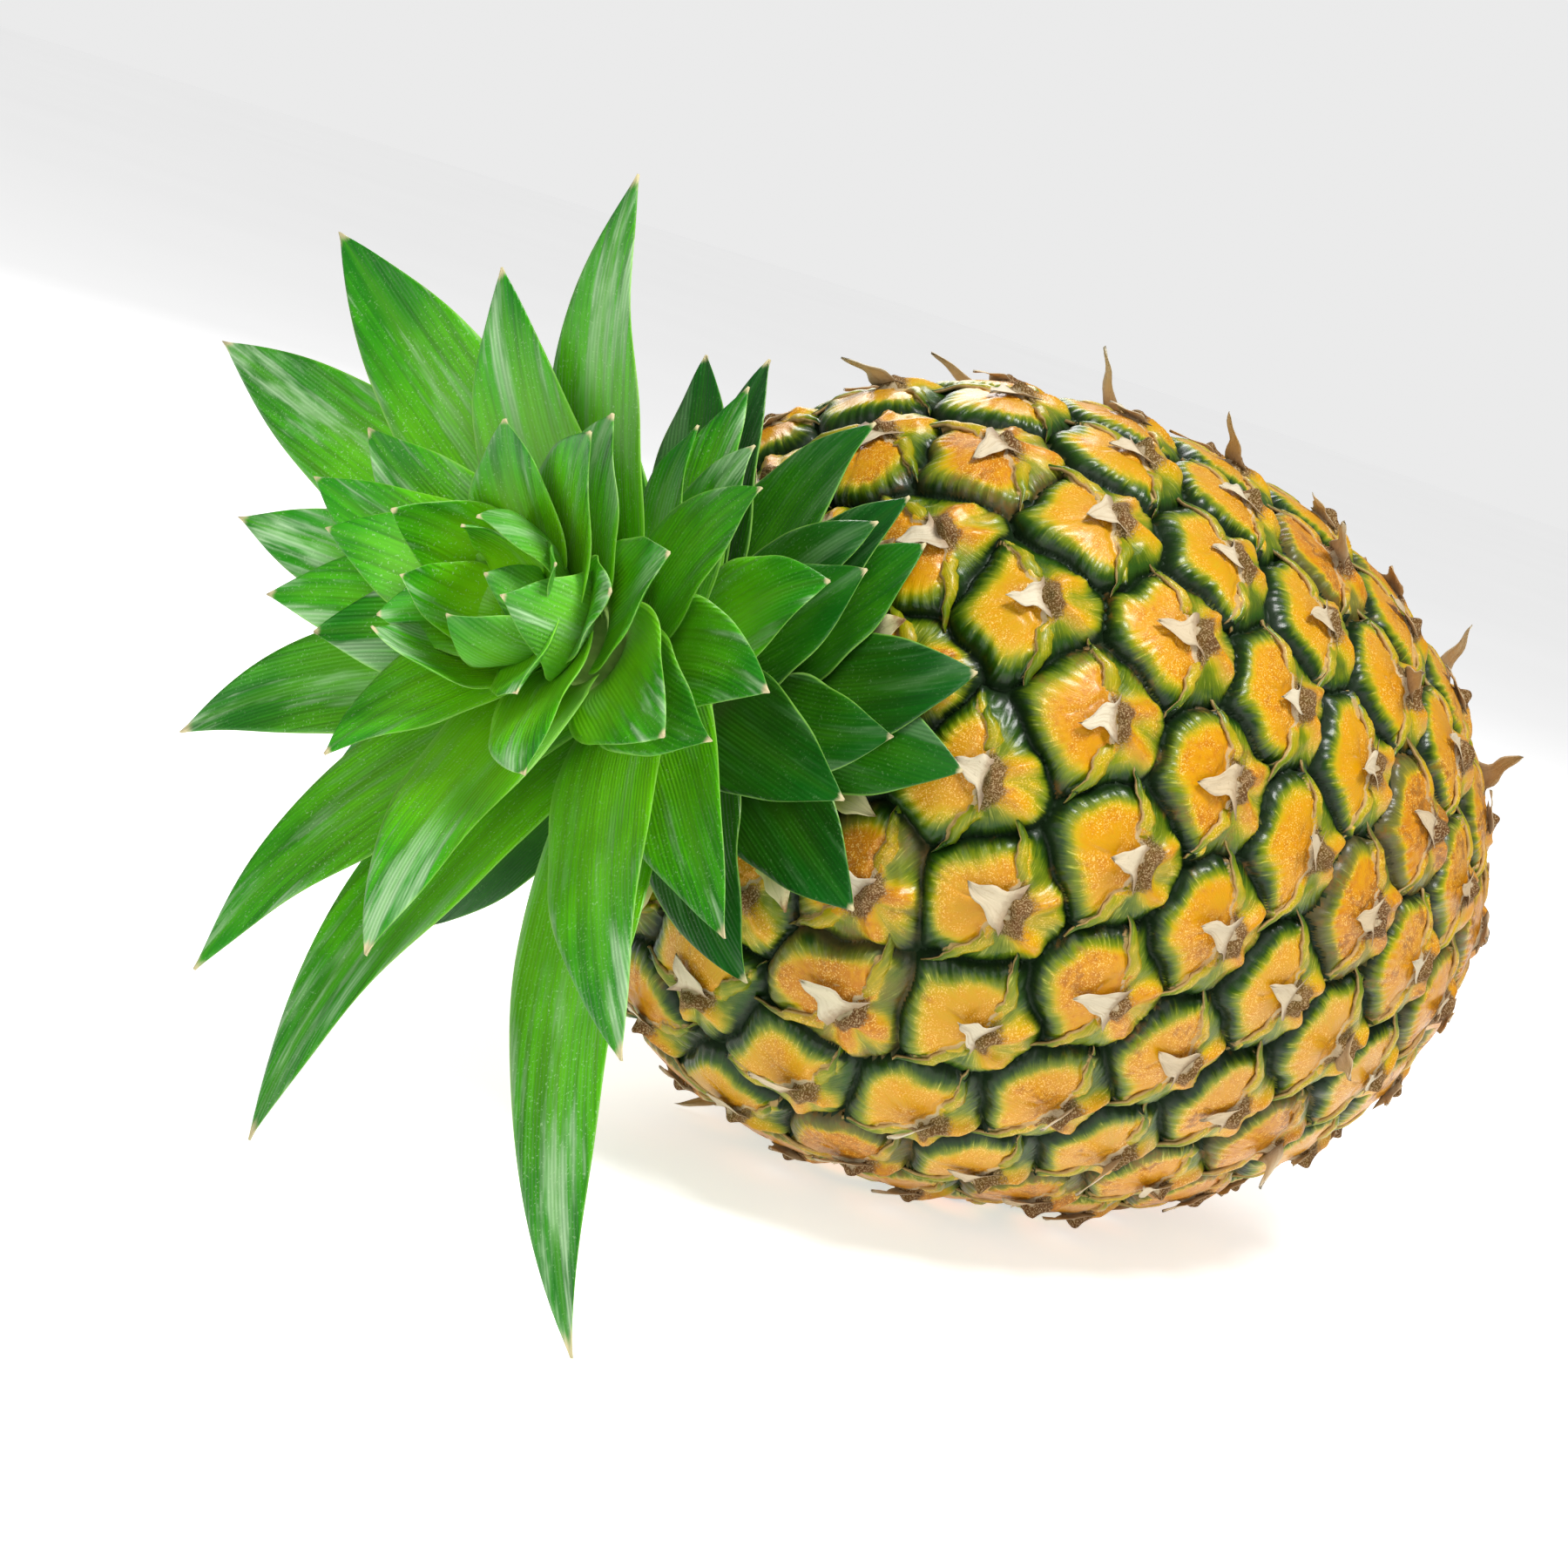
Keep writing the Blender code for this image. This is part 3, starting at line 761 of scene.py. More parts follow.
def eye_place(points, eye):
    """Millimetres from the eye's centre: across the fruit, and towards the crown."""
    offset = points - EYES["centre"][eye] * 1000.0
    across = np.einsum("ij,ij->i", offset, EYES["side"][eye])
    along = np.einsum("ij,ij->i", offset, EYES["up"][eye])
    return across, along


def rounded_border(borders):
    """Distance to the border, with the corners where three eyes meet rounded off."""
    nearness = np.exp(-borders / CORNER_SOFTNESS)
    return -CORNER_SOFTNESS * np.log(nearness[:, 0] + nearness[:, 1])


def bract_edge(across, eye):
    """Where the bract's free edge crosses the eye, in mm towards the crown from its centre."""
    trait = TRAIT[eye]
    bow = 0.030 + 0.012 * trait[:, 0]
    wave = 0.30 * np.sin(across * 1.25 + trait[:, 1] * 6.28)
    wave += 0.16 * np.sin(across * 3.1 + trait[:, 2] * 6.28)
    return -0.3 + bow * across ** 2 + wave


def ray_ridge(across, along, angle, width):
    """A ridge that runs out from the middle of the bract at an angle from the stalk direction."""
    run_x, run_y = np.sin(angle), -np.cos(angle)
    forth = across * run_x + (along + 0.6) * run_y
    aside = across * run_y - (along + 0.6) * run_x
    spread = width * (0.75 + 0.06 * np.clip(forth, 0.0, 12.0))
    return np.exp(-(aside / spread) ** 2) * ramp(forth, -0.3, 1.4), forth


def creases(across, along, trait, width):
    """Each crease that fans out from the top of the disk, and how far along it a point is."""
    for number, base in enumerate(CREASES):
        angle = math.pi + base + 0.8 * (trait[:, number] - 0.5)
        yield ray_ridge(across, along - 3.6, angle, width)


def bract_ridges(across, along, trait, width):
    """Each ridge of the bract, how far along it a point is, and its height and ripeness."""
    for number, (base, tall, ripe) in enumerate(BRACT_RIDGES):
        angle = base + 0.34 * (trait[:, 6 + number] - 0.5)
        line, forth = ray_ridge(across, along, angle, width)
        yield line, forth, tall, ripe


def relief(points, eye, borders):
    """Height of the rind above the smooth barrel, in mm."""
    across, along = eye_place(points, eye)
    trait = TRAIT[eye]
    depth = rounded_border(borders)
    front = along - bract_edge(across, eye)
    reach = np.hypot(across, along)

    sink = 1.4 * np.minimum(depth, 0.0)
    roll = np.clip(depth / 2.7, 0.0, 1.0)
    fan = 2.3 * (1.0 - (1.0 - roll) ** 2.2) ** 0.62 - 1.3 + sink
    fan += 0.45 * np.clip(1.0 - (reach / 8.5) ** 2, 0.0, 1.0)
    fan += 0.12 * ripple(points, 6.0, 11)
    for line, forth in creases(across, along, trait, 0.42):
        fan -= 0.34 * line * (1.0 - ramp(forth, 1.0, 4.5))
    ray = np.arctan2(across, along + 1.5)
    fan += 0.16 * np.cos(3.0 * ray + trait[:, 6]) * ramp(reach, 1.5, 5.0)
    fine = 0.03 * np.sin(8.0 * ray + trait[:, 4] * 6.28)
    ray = ray + 0.06 * np.sin(3.0 * ray + trait[:, 3] * 6.28) + fine
    pleats = np.abs(np.cos(20.0 * ray + trait[:, 5] * 6.28)) - 0.6
    pleats *= 0.75 + 0.35 * ripple(points, 5.0, 13)
    fan += 0.36 * pleats * ramp(depth, -0.4, 0.9) * (1.0 - ramp(depth, 1.8, 4.4))

    slope = np.clip(depth / 3.2, 0.0, 1.0)
    bract = 1.85 * slope ** 0.60 - 1.3 + sink
    bract += 0.55 * np.exp(-(reach / 3.6) ** 2)
    for line, forth, tall, _ in bract_ridges(across, along, trait, 1.15):
        line = line * tall * (0.75 + 0.5 * trait[:, 9])
        bract += line * (1.0 - 0.40 * ramp(forth, 4.0, 12.0)) * ramp(depth, -0.9, 1.0)
    bract += 0.26 * pleats * ramp(depth, -0.4, 0.8) * (1.0 - ramp(depth, 1.4, 3.0))
    bract += 0.14 * ripple(points, 3.2, 12)

    lip = np.exp(-((front + 0.75) / 0.95) ** 2)
    strap = (1.55 - 0.008 * across ** 2) * ramp(np.abs(across), 0.5, 5.0) + 0.35 * sink
    behind = 1.0 - ramp(front, -0.25, 0.12)
    banded = np.maximum(bract + 0.35 * lip, strap * lip + (1.0 - lip) * bract)
    height = fan + (banded - fan) * behind
    undercut = 0.45 * np.exp(-((front - 0.40) / 0.45) ** 2) * ramp(depth, 0.3, 2.0)
    return height - undercut


def zones(points, eye, depth):
    """Where the rind is ripe, woolly or dry at the bract's edge, each from 0 to 1."""
    across, along = eye_place(points, eye)
    trait = TRAIT[eye]
    age = EYES["age"][eye]
    front = along - bract_edge(across, eye)
    on_bract = 1.0 - ramp(front, -0.2, 0.1)
    fan_ripe = ramp(depth, 0.1 - 0.4 * age, 4.3 - 1.4 * age)
    ridge = np.zeros(len(points))
    for line, _, _, ripe in bract_ridges(across, along, trait, 1.9):
        ridge = np.maximum(ridge, line * ripe)
    strap = np.exp(-((front + 0.7) / 0.9) ** 2) * 0.75
    bract_ripe = np.maximum(ridge, strap) * ramp(depth, -0.3, 1.2) * 0.66
    bract_ripe += 0.32 * ramp(depth, 0.1, 2.8) + 0.10 * age
    warm = fan_ripe + (bract_ripe - fan_ripe) * on_bract
    reach = np.hypot(across, along)
    fuzz = 1.25 * np.exp(-((along + 1.5) / 1.4) ** 2 - (across / 3.2) ** 2) * on_bract
    fuzz += 0.65 * np.exp(-((front + 0.9) / 0.9) ** 2 - (across / 5.5) ** 2) * on_bract
    middle = np.exp(-((reach - 1.0) / 3.9) ** 2) * on_bract
    fuzz += 1.05 * ridge * middle * (0.3 + 0.9 * trait[:, 9])
    fuzz *= 0.50 + 0.65 * trait[:, 10]
    edge = np.exp(-((front + 0.12) / 0.28) ** 2) * (1.0 - ramp(np.abs(across), 8.0, 12.0))
    for line, forth in creases(across, along, trait, 0.36):
        edge = np.maximum(edge, 0.62 * line * (1.0 - ramp(forth, 0.5, 3.2)) * (1.0 - on_bract))
    return np.stack([warm, fuzz, edge], axis=1)


def rind(paint):
    """The whole rind, shared among a few pieces so that no two neighbouring eyes are in one."""
    points, normals, fade = rind_surface()
    mm = points * 1000.0
    warped = mm.copy()
    for axis in range(3):
        warped[:, axis] += 0.60 * ripple(mm, 7.0, 20 + axis)
    eye, borders = nearest_eyes(warped)
    lift = relief(warped, eye, borders) * fade
    raised = mm + normals * lift[:, None]
    world = placed(raised / 1000.0, LYING)
    world[:, 2] = np.maximum(world[:, 2], 0.0)
    depth = rounded_border(borders)
    quads = barrel_quads()
    owner = eye[quads[:, 0]]
    for piece in range(RIND_PIECES):
        faces = quads[EYES["number"][owner] % RIND_PIECES == piece]
        used, compact = np.unique(faces, return_inverse=True)
        compact = compact.reshape(faces.shape)
        owner_of = np.empty(len(used), np.int32)
        owner_of[compact.ravel()] = np.repeat(eye[faces[:, 0]], 4)
        across, along = eye_place(warped[used], owner_of)
        tone, age = TRAIT[owner_of, 11], EYES["age"][owner_of]
        stored = {
            "eye": np.stack([across, along, depth[used]], axis=1),
            "zone": zones(warped[used], owner_of, depth[used]),
            "tone": np.stack([tone, age, age * 0.0], axis=1),
        }
        name = "rind_eyes_%d" % (piece + 1)
        made = new_piece(name, relief_mesh(name, world[used], compact, stored), paint)
        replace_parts(made, "fruit_body")


def sheet_grid(rows, columns):
    """Share of the length and place across, from -1 to 1, of every point of a sheet."""
    share, across = np.linspace(0.0, 1.0, rows), np.linspace(-1.0, 1.0, columns)
    share, across = np.meshgrid(share, across, indexing="ij")
    return share.ravel(), across.ravel()


def sheet_values(first, second, third):
    """A stored vector for each point of a sheet, upper and lower, from three values."""
    parts = [np.broadcast_to(part, np.shape(first)) for part in (first, second, third)]
    return np.tile(np.stack(parts, axis=1), (2, 1))


def on_eye(index, x, y, high, thickness):
    """Points of a thin sheet over an eye, from millimetres across, towards the crown and out."""
    level = high - (x ** 2 + y ** 2) / 125.0
    top = EYES["centre"][index] * 1000.0 + x[:, None] * EYES["side"][index]
    top = top + y[:, None] * EYES["up"][index] + level[:, None] * EYES["out"][index]
    return np.concatenate([top, top - thickness * EYES["out"][index]])


def shown_eyes():
    """Eyes that are neither under the crown nor round the stalk."""
    z = EYES["centre"][:, 2]
    return np.nonzero((z < NECK_HEIGHT - 0.002) & (z > BASE_HEIGHT + 0.004))[0]


def sheets(name, rows, columns, blocks, stored, paint):
    """One object from many sheets on the fruit, given in millimetres, that share one grid."""
    points = placed(np.concatenate(blocks) / 1000.0, LYING)
    points[:, 2] = np.maximum(points[:, 2], 0.0)
    stored = {key: np.concatenate(values) for key, values in stored.items()}
    new_piece(name, sheet_mesh(name, rows, columns, points, stored), paint)


def bract_tips(paint):
    """The dry papery tip of every bract, lying over its eye towards the crown."""
    rows, columns = 11, 7
    share, across = sheet_grid(rows, columns)
    blocks, stored = [], {"blade": [], "tone": []}
    for index in shown_eyes():
        luck = TRAIT[index]
        age = EYES["age"][index]
        length = 4.8 + 3.2 * luck[0] + 0.8 * age
        width = 1.9 + 1.1 * luck[1] - 0.5 * age
        rise = 0.04 + 0.22 * luck[2] ** 2
        if luck[3] > 0.88 - 0.12 * age:
            rise = 0.55 + 0.45 * luck[4]
            length += 1.2
            width *= 0.75
        curl = (luck[5] - 0.45) * 0.9
        lean = (luck[6] - 0.5) * 0.7
        ragged = 1.0 + 0.20 * np.sin(share * 11.0 + across * 1.5 + luck[7] * 6.0)
        half = width * (1.0 - share) ** 0.70 * ragged
        half = half * (1.0 + 0.45 * np.exp(-share * 6.0)) + 0.05
        x = across * half + lean * length * share ** 1.5
        x = x + 0.25 * np.sin(share * 7.0 + luck[8] * 6.0)
        y = -1.5 + length * share + 0.25 * np.sin(across * 4.0 + luck[10] * 6.0) * share
        high = 1.35 + 0.55 * ramp(share, 0.0, 0.30) + rise * length * share
        high += curl * share ** 2 * 1.3
        high += 0.16 * across ** 2 * half
        high += 0.14 * np.sin(across * 3.0 + share * 8.0 + luck[9] * 6.0) * (0.3 + share)
        blocks.append(on_eye(index, x, y, high, TIP_THICKNESS))
        old = np.clip(age * 0.65 + (luck[10] - 0.5) * 0.7, 0.0, 1.0)
        stored["blade"].append(sheet_values(share, across, 0.0))
        stored["tone"].append(sheet_values(share * 0.0 + luck[11], old, 0.0))
    sheets("bract_tips", rows, columns, blocks, stored, paint)


def bract_arms(paint):
    """The two arms of every bract, which run past the eye's corners over the grooves."""
    rows, columns = 12, 5
    share, across = sheet_grid(rows, columns)
    blocks, stored = [], {"blade": [], "tone": [], "eye": [], "zone": []}
    for index in shown_eyes():
        luck = TRAIT[index]
        age = EYES["age"][index]
        for hand in (-1.0, 1.0):
            near, far = 3.4, 10.6 + 2.4 * luck[4 if hand > 0 else 5]
            run = near + (far - near) * share
            edge = bract_edge(hand * run, np.full(len(run), index))
            half = (1.45 - 0.30 * luck[6]) * (1.0 - share ** 1.7) + 0.06
            x = hand * (run - 0.35 * across * half * share)
            y = edge - 1.05 + across * half + 0.5 * share ** 2
            high = 1.66 - 0.30 * share - 1.25 * ramp(share, 0.55, 1.0) - 0.30 * across ** 2
            high -= 0.50 * np.clip(-across, 0.0, 1.0) ** 2
            high -= 0.60 * (1.0 - ramp(share, 0.0, 0.28))
            blocks.append(on_eye(index, x, y, high, ARM_THICKNESS))
            ripe = 0.58 - 0.42 * ramp(share, 0.45, 0.95) + 0.1 * age
            dry = 0.75 * ramp(across, 0.45, 0.9) + 0.5 * ramp(share, 0.86, 1.0)
            stored["blade"].append(sheet_values(share, across, 0.0))
            stored["tone"].append(sheet_values(share * 0.0 + luck[11], age, 0.0))
            stored["eye"].append(sheet_values(x, y, 3.0))
            stored["zone"].append(sheet_values(ripe, 0.0, dry))
    sheets("bract_arms", rows, columns, blocks, stored, paint)


def collar_bracts(paint):
    """Papery basal bracts that lie over the fruit's shoulder where the crown begins."""
    heights, radii, _ = barrel_samples(0.0, NECK_HEIGHT)
    heights, radii = heights[::-1] * 1000.0, radii[::-1] * 1000.0
    travelled = np.concatenate(([0.0], np.cumsum(np.hypot(np.diff(heights), np.diff(radii)))))
    rows, columns = 16, 9
    share, across = sheet_grid(rows, columns)
    blocks, stored = [], {"blade": [], "tone": []}
    for number in range(COLLAR_BRACTS):
        luck = np.random.default_rng(COLLAR_SEED + number).random(8)
        angle = math.radians(number * 360.0 / COLLAR_BRACTS + 18.0 * (luck[0] - 0.5))
        length = 10.0 + 6.5 * luck[1]
        ragged = 1.0 + 0.10 * np.sin(share * 19.0 + across * 2.0 + luck[3] * 6.0)
        half = (3.6 + 1.8 * luck[2]) * (1.0 - share ** 1.7) * ragged + 0.06
        run = 0.8 + length * share
        radius = np.interp(run, travelled, radii)
        level = np.interp(run, travelled, heights)
        before, after = run - 0.5 * (run > 0.5), run + 0.5
        slope_r = np.interp(after, travelled, radii) - np.interp(before, travelled, radii)
        slope_z = np.interp(after, travelled, heights) - np.interp(before, travelled, heights)
        size = np.hypot(slope_r, slope_z)
        out_r, out_z = -slope_z / size, slope_r / size
        lift = 0.4 + 1.7 * ramp(share, 0.25, 0.80) + (luck[4] * 1.3 - 0.3) * share ** 2
        lift += 0.10 * half * across ** 2
        lift += 0.25 * np.sin(across * 3.5 + share * 6.0 + luck[5] * 6.0) * share
        aside = across * half + (luck[6] - 0.5) * 5.0 * share ** 2
        block = []
        for sink in (0.0, COLLAR_THICKNESS):
            r = radius + out_r * (lift - sink)
            z = level + out_z * (lift - sink)
            x = r * math.cos(angle) - aside * math.sin(angle)
            y = r * math.sin(angle) + aside * math.cos(angle)
            block.append(np.stack([x, y, z], axis=1))
        blocks.append(np.concatenate(block))
        stored["blade"].append(sheet_values(share, across, 0.0))
        stored["tone"].append(sheet_values(share * 0.0 + luck[7], 0.25 + 0.5 * luck[4], 0.0))
    sheets("collar_bracts", rows, columns, blocks, stored, paint)


def stalk(paint):
    """The dry cut stalk: a fibrous cut face inside a ragged bark, and furrowed sides."""
    segments = 120
    tall = STALK_LENGTH + FIT_GAP + BASE_DISH
    rings = [(share * STALK_RADIUS, 0.0) for share in np.linspace(0.04, 0.94, 22)]
    rings += [(0.98 * STALK_RADIUS, 0.0), (STALK_RADIUS, 0.0003)]
    rings += [(STALK_RADIUS, rise) for rise in np.linspace(0.0008, tall, 32)]
    shape = bmesh.new()
    tag = shape.verts.layers.float_vector.new("cut")
    bmesh.ops.create_circle(
        shape, cap_ends=True, cap_tris=True, segments=segments, radius=rings[0][0]
    )
    rim = [edge for edge in shape.edges if edge.is_boundary]
    for radius, rise in rings[1:]:
        grown = bmesh.ops.extrude_edge_only(shape, edges=rim)
        ring = [item for item in grown["geom"] if isinstance(item, bmesh.types.BMVert)]
        edges = [item for item in grown["geom"] if isinstance(item, bmesh.types.BMEdge)]
        rim = [edge for edge in edges if edge.is_boundary]
        for point in ring:
            turn = math.atan2(point.co.y, point.co.x)
            point.co = (radius * math.cos(turn), radius * math.sin(turn), rise)
    bmesh.ops.contextual_create(shape, geom=rim)
    for point in shape.verts:
        radius = math.hypot(point.co.x, point.co.y)
        turn = math.atan2(point.co.y, point.co.x)
        share = radius / STALK_RADIUS
        rise = point.co.z
        on_side = min(1.0, rise / 0.0008)
        furrow = 0.35 * math.sin(turn * 17.0 + 1.2 * math.sin(rise * 500.0)) - 0.6
        furrow += 0.25 * math.sin(turn * 41.0 + rise * 900.0)
        point[tag] = (share, rise * 1000.0, turn)
        scale = 0.9 + 0.1 * min(1.0, rise / STALK_LENGTH) + furrow * 0.05 * on_side
        point.co.x *= scale
        point.co.y *= scale
        ragged = 0.00045 * math.sin(turn * 9.0 + 2.0) + 0.00035 * math.sin(turn * 23.0)
        dish = 0.0014 * (1.0 - share ** 2) + 0.0003
        dish += (0.0009 + ragged) * max(0.0, 1.0 - abs(share - 0.80) / 0.14)
        point.co.z += dish * (1.0 - on_side)
    bmesh.ops.recalc_face_normals(shape, faces=shape.faces)
    mesh = bpy.data.meshes.new("cut_stalk")
    shape.transform(LYING @ Matrix.Translation((0.0, 0.0, BASE_HEIGHT - FIT_GAP - STALK_LENGTH)))
    shape.to_mesh(mesh)
    shape.free()
    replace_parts(new_piece("cut_stalk", mesh, paint), "stalk_stub")


# -----------------------------------------------------------------------------
# The crown
# -----------------------------------------------------------------------------
def core_radius(rise):
    """Radius of the tapering crown core at this rise above the fruit's neck."""
    share = min(1.0, max(0.0, rise / CORE_LENGTH))
    return CORE_RADIUS_LOW + (CORE_RADIUS_HIGH - CORE_RADIUS_LOW) * share


def leaf_spine(rise, length, rows, openings=None):
    """Distances from the crown axis and rises of the points along the middle of a leaf."""
    up = rise / CORE_LENGTH
    low = LOW_OPENING[0] + (HEART_OPENING[0] - LOW_OPENING[0]) * up
    high = LOW_OPENING[1] + (HEART_OPENING[1] - LOW_OPENING[1]) * up
    start, finish = np.radians(openings or (low, high))
    fine = 120
    step = length / fine
    opening = start + (finish - start) * (np.arange(fine) + 0.5) / fine
    outwards = np.concatenate(([0.0], np.cumsum(step * np.sin(opening))))
    outs = core_radius(rise) + LEAF_STANDOFF + outwards
    highs = rise + np.concatenate(([0.0], np.cumsum(step * np.cos(opening))))
    wanted = np.linspace(0, fine, rows + 1)
    spots = np.arange(fine + 1)
    return np.interp(wanted, spots, outs), np.interp(wanted, spots, highs)


def prop_length(direction, sweep, rise):
    """The length at which a leaf's tip comes down to the ground, found by halving."""
    short, long = 0.03, 0.16
    turned = math.radians(direction + sweep)
    for _ in range(30):
        middle = (short + long) / 2
        outs, highs = leaf_spine(rise, middle, 1)
        tip = (outs[-1] * math.cos(turned), outs[-1] * math.sin(turned), highs[-1])
        tip = CROWN @ Vector(tip)
        if tip.z > LEAF_THICKNESS:
            short = middle
        else:
            long = middle
    return short


def crown_leaf(name, order, direction, length, width, painted_light_and_tone, tier, paint, openings=None):
    """One leaf: a closed, tapering blade on the surface that the CAD leaf follows."""
    rows, columns = ((44, 17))
    rise = FIRST_LEAF_RISE + LEAF_SPACING * order
    sweep = LEAF_SWEEP * math.sin(2.4 * order)
    if length == PROP:
        length = prop_length(direction, sweep, rise)
    luck = np.random.default_rng(LEAF_SEED + 10 * order).random(8)
    outs, highs = leaf_spine(rise, length, rows - 1, openings)
    share = np.linspace(0.0, 1.0, rows)
    across = np.linspace(-1.0, 1.0, columns)
    grid_share, grid_across = np.meshgrid(share, across, indexing="ij")
    widening = 0.80 + 0.20 * np.sin(np.minimum(1.0, grid_share / 0.30) * math.pi / 2)
    half = 0.5 * width * widening * (1.0 - grid_share ** 2.3)
    wave = 1.0 + 0.02 * np.sin(grid_share * 17.0 + luck[0] * 6.28) * np.abs(grid_across)
    half = np.maximum(0.00012, half * wave)
    bow = outs[:, None] * (1.0 + 1.3 * ramp(grid_share, 0.12, 0.60))
    spread = grid_across * np.minimum(half / bow, math.radians(LEAF_WRAP))
    along_r = np.gradient(outs)[:, None]
    along_z = np.gradient(highs)[:, None]
    size = np.hypot(along_r, along_z)
    out_r, out_z = along_z / size, -along_r / size
    taper = 0.35 + 0.65 * (1.0 - grid_share ** 3)
    thick = 0.5 * LEAF_THICKNESS * np.sqrt(np.clip(1.0 - grid_across ** 2, 0.0, 1.0)) * taper
    thick = thick + 0.00006
    fold = (0.05 + 0.10 * luck[3]) * half * ramp(grid_share, 0.10, 0.45)
    shape = fold * (1.0 - np.abs(grid_across) ** 1.4)
    shape += (luck[4] - 0.5) * 0.22 * half * grid_across * ramp(grid_share, 0.25, 1.0)
    frill = 0.00025 * np.sin(grid_share * 14.0 + luck[5] * 6.28) * np.abs(grid_across) ** 3
    shape += frill * ramp(grid_share, 0.2, 0.5)
    turned = np.radians(direction + sweep * grid_share ** 2)
    sides = []
    for sign in (1.0, -1.0):
        shift = shape + sign * thick
        radius = outs[:, None] - bow + bow * np.cos(spread) + out_r * shift
        aside = bow * np.sin(spread)
        level = highs[:, None] + out_z * shift
        x = radius * np.cos(turned) - aside * np.sin(turned)
        y = radius * np.sin(turned) + aside * np.cos(turned)
        sides.append(np.stack([x, y, level], axis=2).reshape(-1, 3))
    points = placed(np.concatenate(sides), CROWN)
    under = np.repeat([1.0, 0.0], rows * columns)
    flat_share = np.tile(grid_share.ravel(), 2)
    flat_across = np.tile(grid_across.ravel(), 2)
    flat_half = np.tile((half * 1000.0).ravel(), 2)
    # The leaf's painted light level with some random tone; low values paint it dark as if in shade.
    own_painted_light_and_tone = np.clip(painted_light_and_tone + (luck[2] - 0.5) * 0.25, 0, 1)
    wide, long = flat_across * flat_half, flat_share * length * 1000.0
    stored = {
        "blade": np.stack([flat_share, flat_across, under], axis=1),
        "tone": np.tile([luck[1], own_painted_light_and_tone, tier], (len(points), 1)),
        "ribs": np.stack([wide, long, flat_half], axis=1),
    }
    return new_piece(name, sheet_mesh(name, rows, columns, points, stored), paint)


def crown(paint):
    """Every crown leaf, from the recurved ones on the fruit's shoulder, painted dark as if in
    shade, to the pale heart.
    """
    leaves = BASAL_LEAVES + OUTER_LEAVES + INNER_LEAVES
    for order, (direction, length, width) in enumerate(leaves):
        # Each tier's middle number is its painted light level: the basal leaves are painted dark as
        # shade, the inner leaves light.
        if order < len(BASAL_LEAVES):
            slot, painted_light_and_tone, tier = "basal_leaf", 0.15, 0.25
        elif order < len(BASAL_LEAVES) + len(OUTER_LEAVES):
            slot, painted_light_and_tone, tier = "outer_leaf", 0.65, 0.6
        else:
            slot, painted_light_and_tone, tier = "inner_leaf", 0.9, 0.85
            width *= BROAD_BREADTH if order in BROAD_LEAVES else INNER_BREADTH
        made = crown_leaf(
            "blade_%02d" % (order + 1), order, direction, length / 1000, width / 1000,
            painted_light_and_tone, tier, paint,
        )
        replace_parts(made, "leaf_%02d" % (order + 1))
    for number, (direction, length, width, *opening) in enumerate(HEART_LEAVES):
        crown_leaf(
            "heart_leaf_%d" % (number + 1), FIRST_HEART_ORDER + number, direction,
            length / 1000, width / 1000, 0.9, 1.0, paint, opening,
        )


# -----------------------------------------------------------------------------
# Stage
# -----------------------------------------------------------------------------
# The camera's own directions, and its place from the middle of the fruit's widest ring
VIEW_RIGHT = (0.6991, -0.6471, 0.3043)
VIEW_DOWN = (0.0958, -0.3370, -0.9366)
VIEW_FORWARD = (0.7086, 0.6839, -0.1736)
VIEW_OFFSET = (-0.3699, -0.2995, 0.0752)
VIEW_LENS = 70.4

# Name, place, size in metres and power in watts of each lamp
LAMP_TARGET = (-0.02, 0.0, 0.06)
LAMPS = (
    ("key", (-0.15, -0.35, 0.85), 0.24, 8.6),
    ("fill", (-0.75, -0.55, 0.35), 0.50, 2.1),
    ("rim", (0.35, 0.65, 0.55), 0.45, 3.4),
)
# The backdrop lights the object less than it shows, and the floor glows to match it
BACKDROP_LIGHT = 0.24
BACKDROP_SEEN = 0.83
FLOOR_GLOW = 0.68
FLOOR_DROP = 0.0004


def camera():
    """Looks down a little on the fruit from its crown end, rolled to the side."""
    data = bpy.data.cameras.new("view")
    data.lens = VIEW_LENS
    data.sensor_width = 36.0
    data.clip_start = 0.01
    item = bpy.data.objects.new("view", data)
    sides = (Vector(VIEW_RIGHT), -Vector(VIEW_DOWN), -Vector(VIEW_FORWARD))
    turn = Matrix(sides).transposed().to_4x4()
    spot = LYING.translation + Vector(VIEW_OFFSET)
    item.matrix_world = Matrix.Translation(spot) @ turn
    bpy.context.scene.collection.objects.link(item)
    bpy.context.scene.camera = item


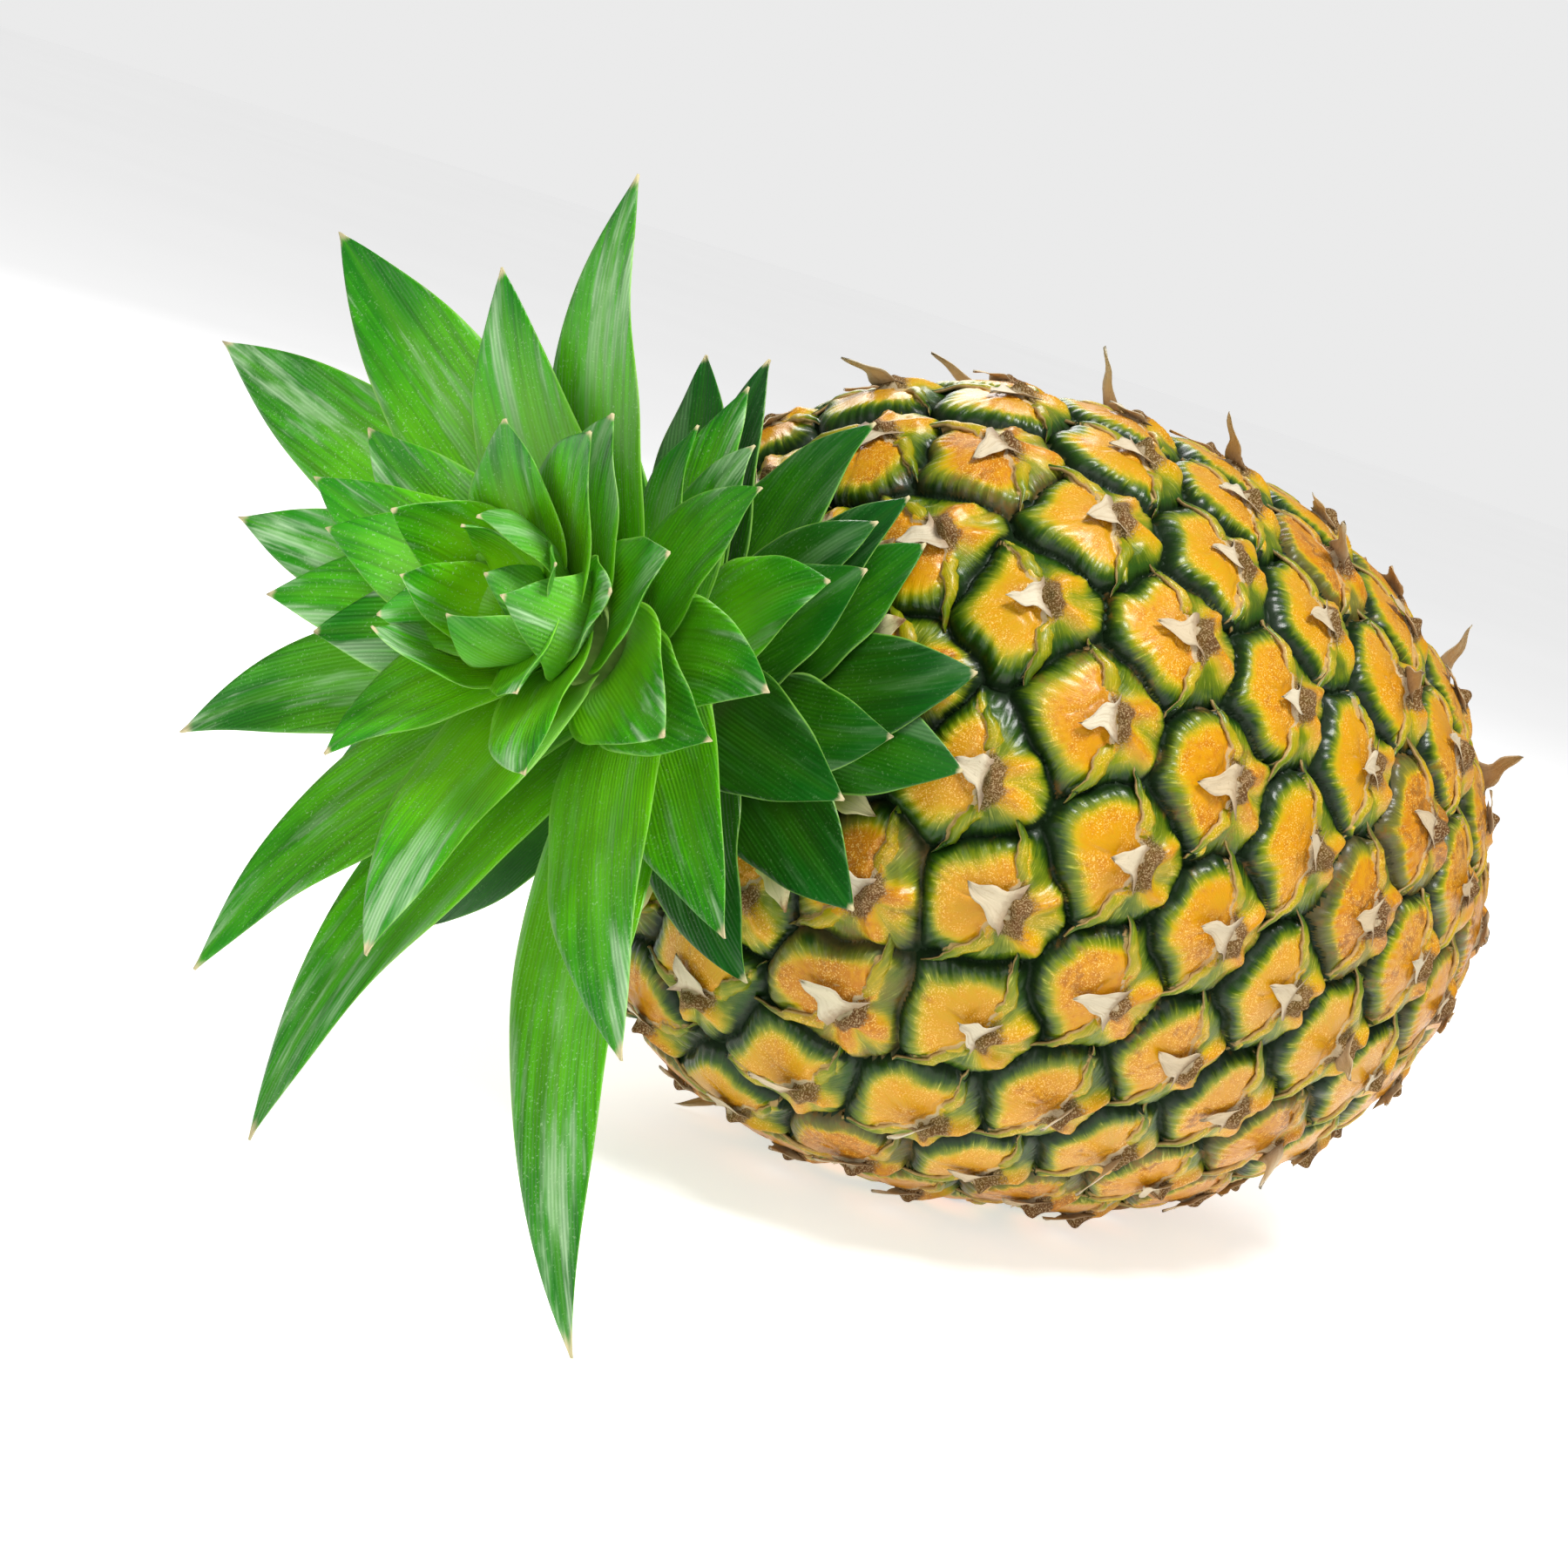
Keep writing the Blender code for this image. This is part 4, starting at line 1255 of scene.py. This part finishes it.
def lamp(name, spot, size, power):
    """A soft square lamp aimed at the middle of the pineapple."""
    data = bpy.data.lights.new(name, "AREA")
    data.shape = "SQUARE"
    data.size = size
    data.energy = power
    item = bpy.data.objects.new(name, data)
    aim = Vector(LAMP_TARGET) - Vector(spot)
    item.matrix_world = Matrix.Translation(spot) @ aim.to_track_quat("-Z", "Y").to_matrix().to_4x4()
    bpy.context.scene.collection.objects.link(item)


def stage():
    """A pale floor under soft studio light."""
    shape = bmesh.new()
    bmesh.ops.create_grid(shape, x_segments=1, y_segments=1, size=6.0)
    bmesh.ops.translate(shape, verts=shape.verts, vec=(0.0, 0.0, -FLOOR_DROP))
    mesh = bpy.data.meshes.new("floor")
    shape.to_mesh(mesh)
    shape.free()
    paint = Paint("floor_skin")
    grain = paint.noise(paint.place(), 3.0, 2.0)
    tint = paint.blend(grain, FLOOR_LOW, FLOOR_HIGH)
    paint.feed(paint.shader.inputs["Emission Color"], tint)
    paint.shader.inputs["Emission Strength"].default_value = FLOOR_GLOW
    mesh.materials.append(paint.finish(tint, 0.7))
    floor = bpy.data.objects.new("floor", mesh)
    bpy.context.scene.collection.objects.link(floor)
    bpy.context.scene.view_settings.view_transform = "Standard"
    world = bpy.data.worlds.new("studio")
    bpy.context.scene.world = world
    world.use_nodes = True
    sky = world.node_tree.nodes["Background"]
    sky.inputs["Color"].default_value = (1.0, 1.0, 1.0, 1.0)
    path = world.node_tree.nodes.new("ShaderNodeLightPath")
    seen = world.node_tree.nodes.new("ShaderNodeMapRange")
    seen.inputs["To Min"].default_value = BACKDROP_LIGHT
    seen.inputs["To Max"].default_value = BACKDROP_SEEN
    world.node_tree.links.new(path.outputs["Is Camera Ray"], seen.inputs["Value"])
    world.node_tree.links.new(seen.outputs[0], sky.inputs["Strength"])
    for name, spot, size, power in LAMPS:
        lamp(name, spot, size, power)


def main():
    skin = rind_paint()
    rind(skin)
    paper = paper_paint()
    bract_tips(paper)
    bract_arms(skin)
    collar_bracts(collar_paint())
    stalk(stalk_paint())
    crown(leaf_paint())
    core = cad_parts["crown_core"].data
    core.materials.clear()
    core.materials.append(core_paint())
    stage()
    camera()


main()
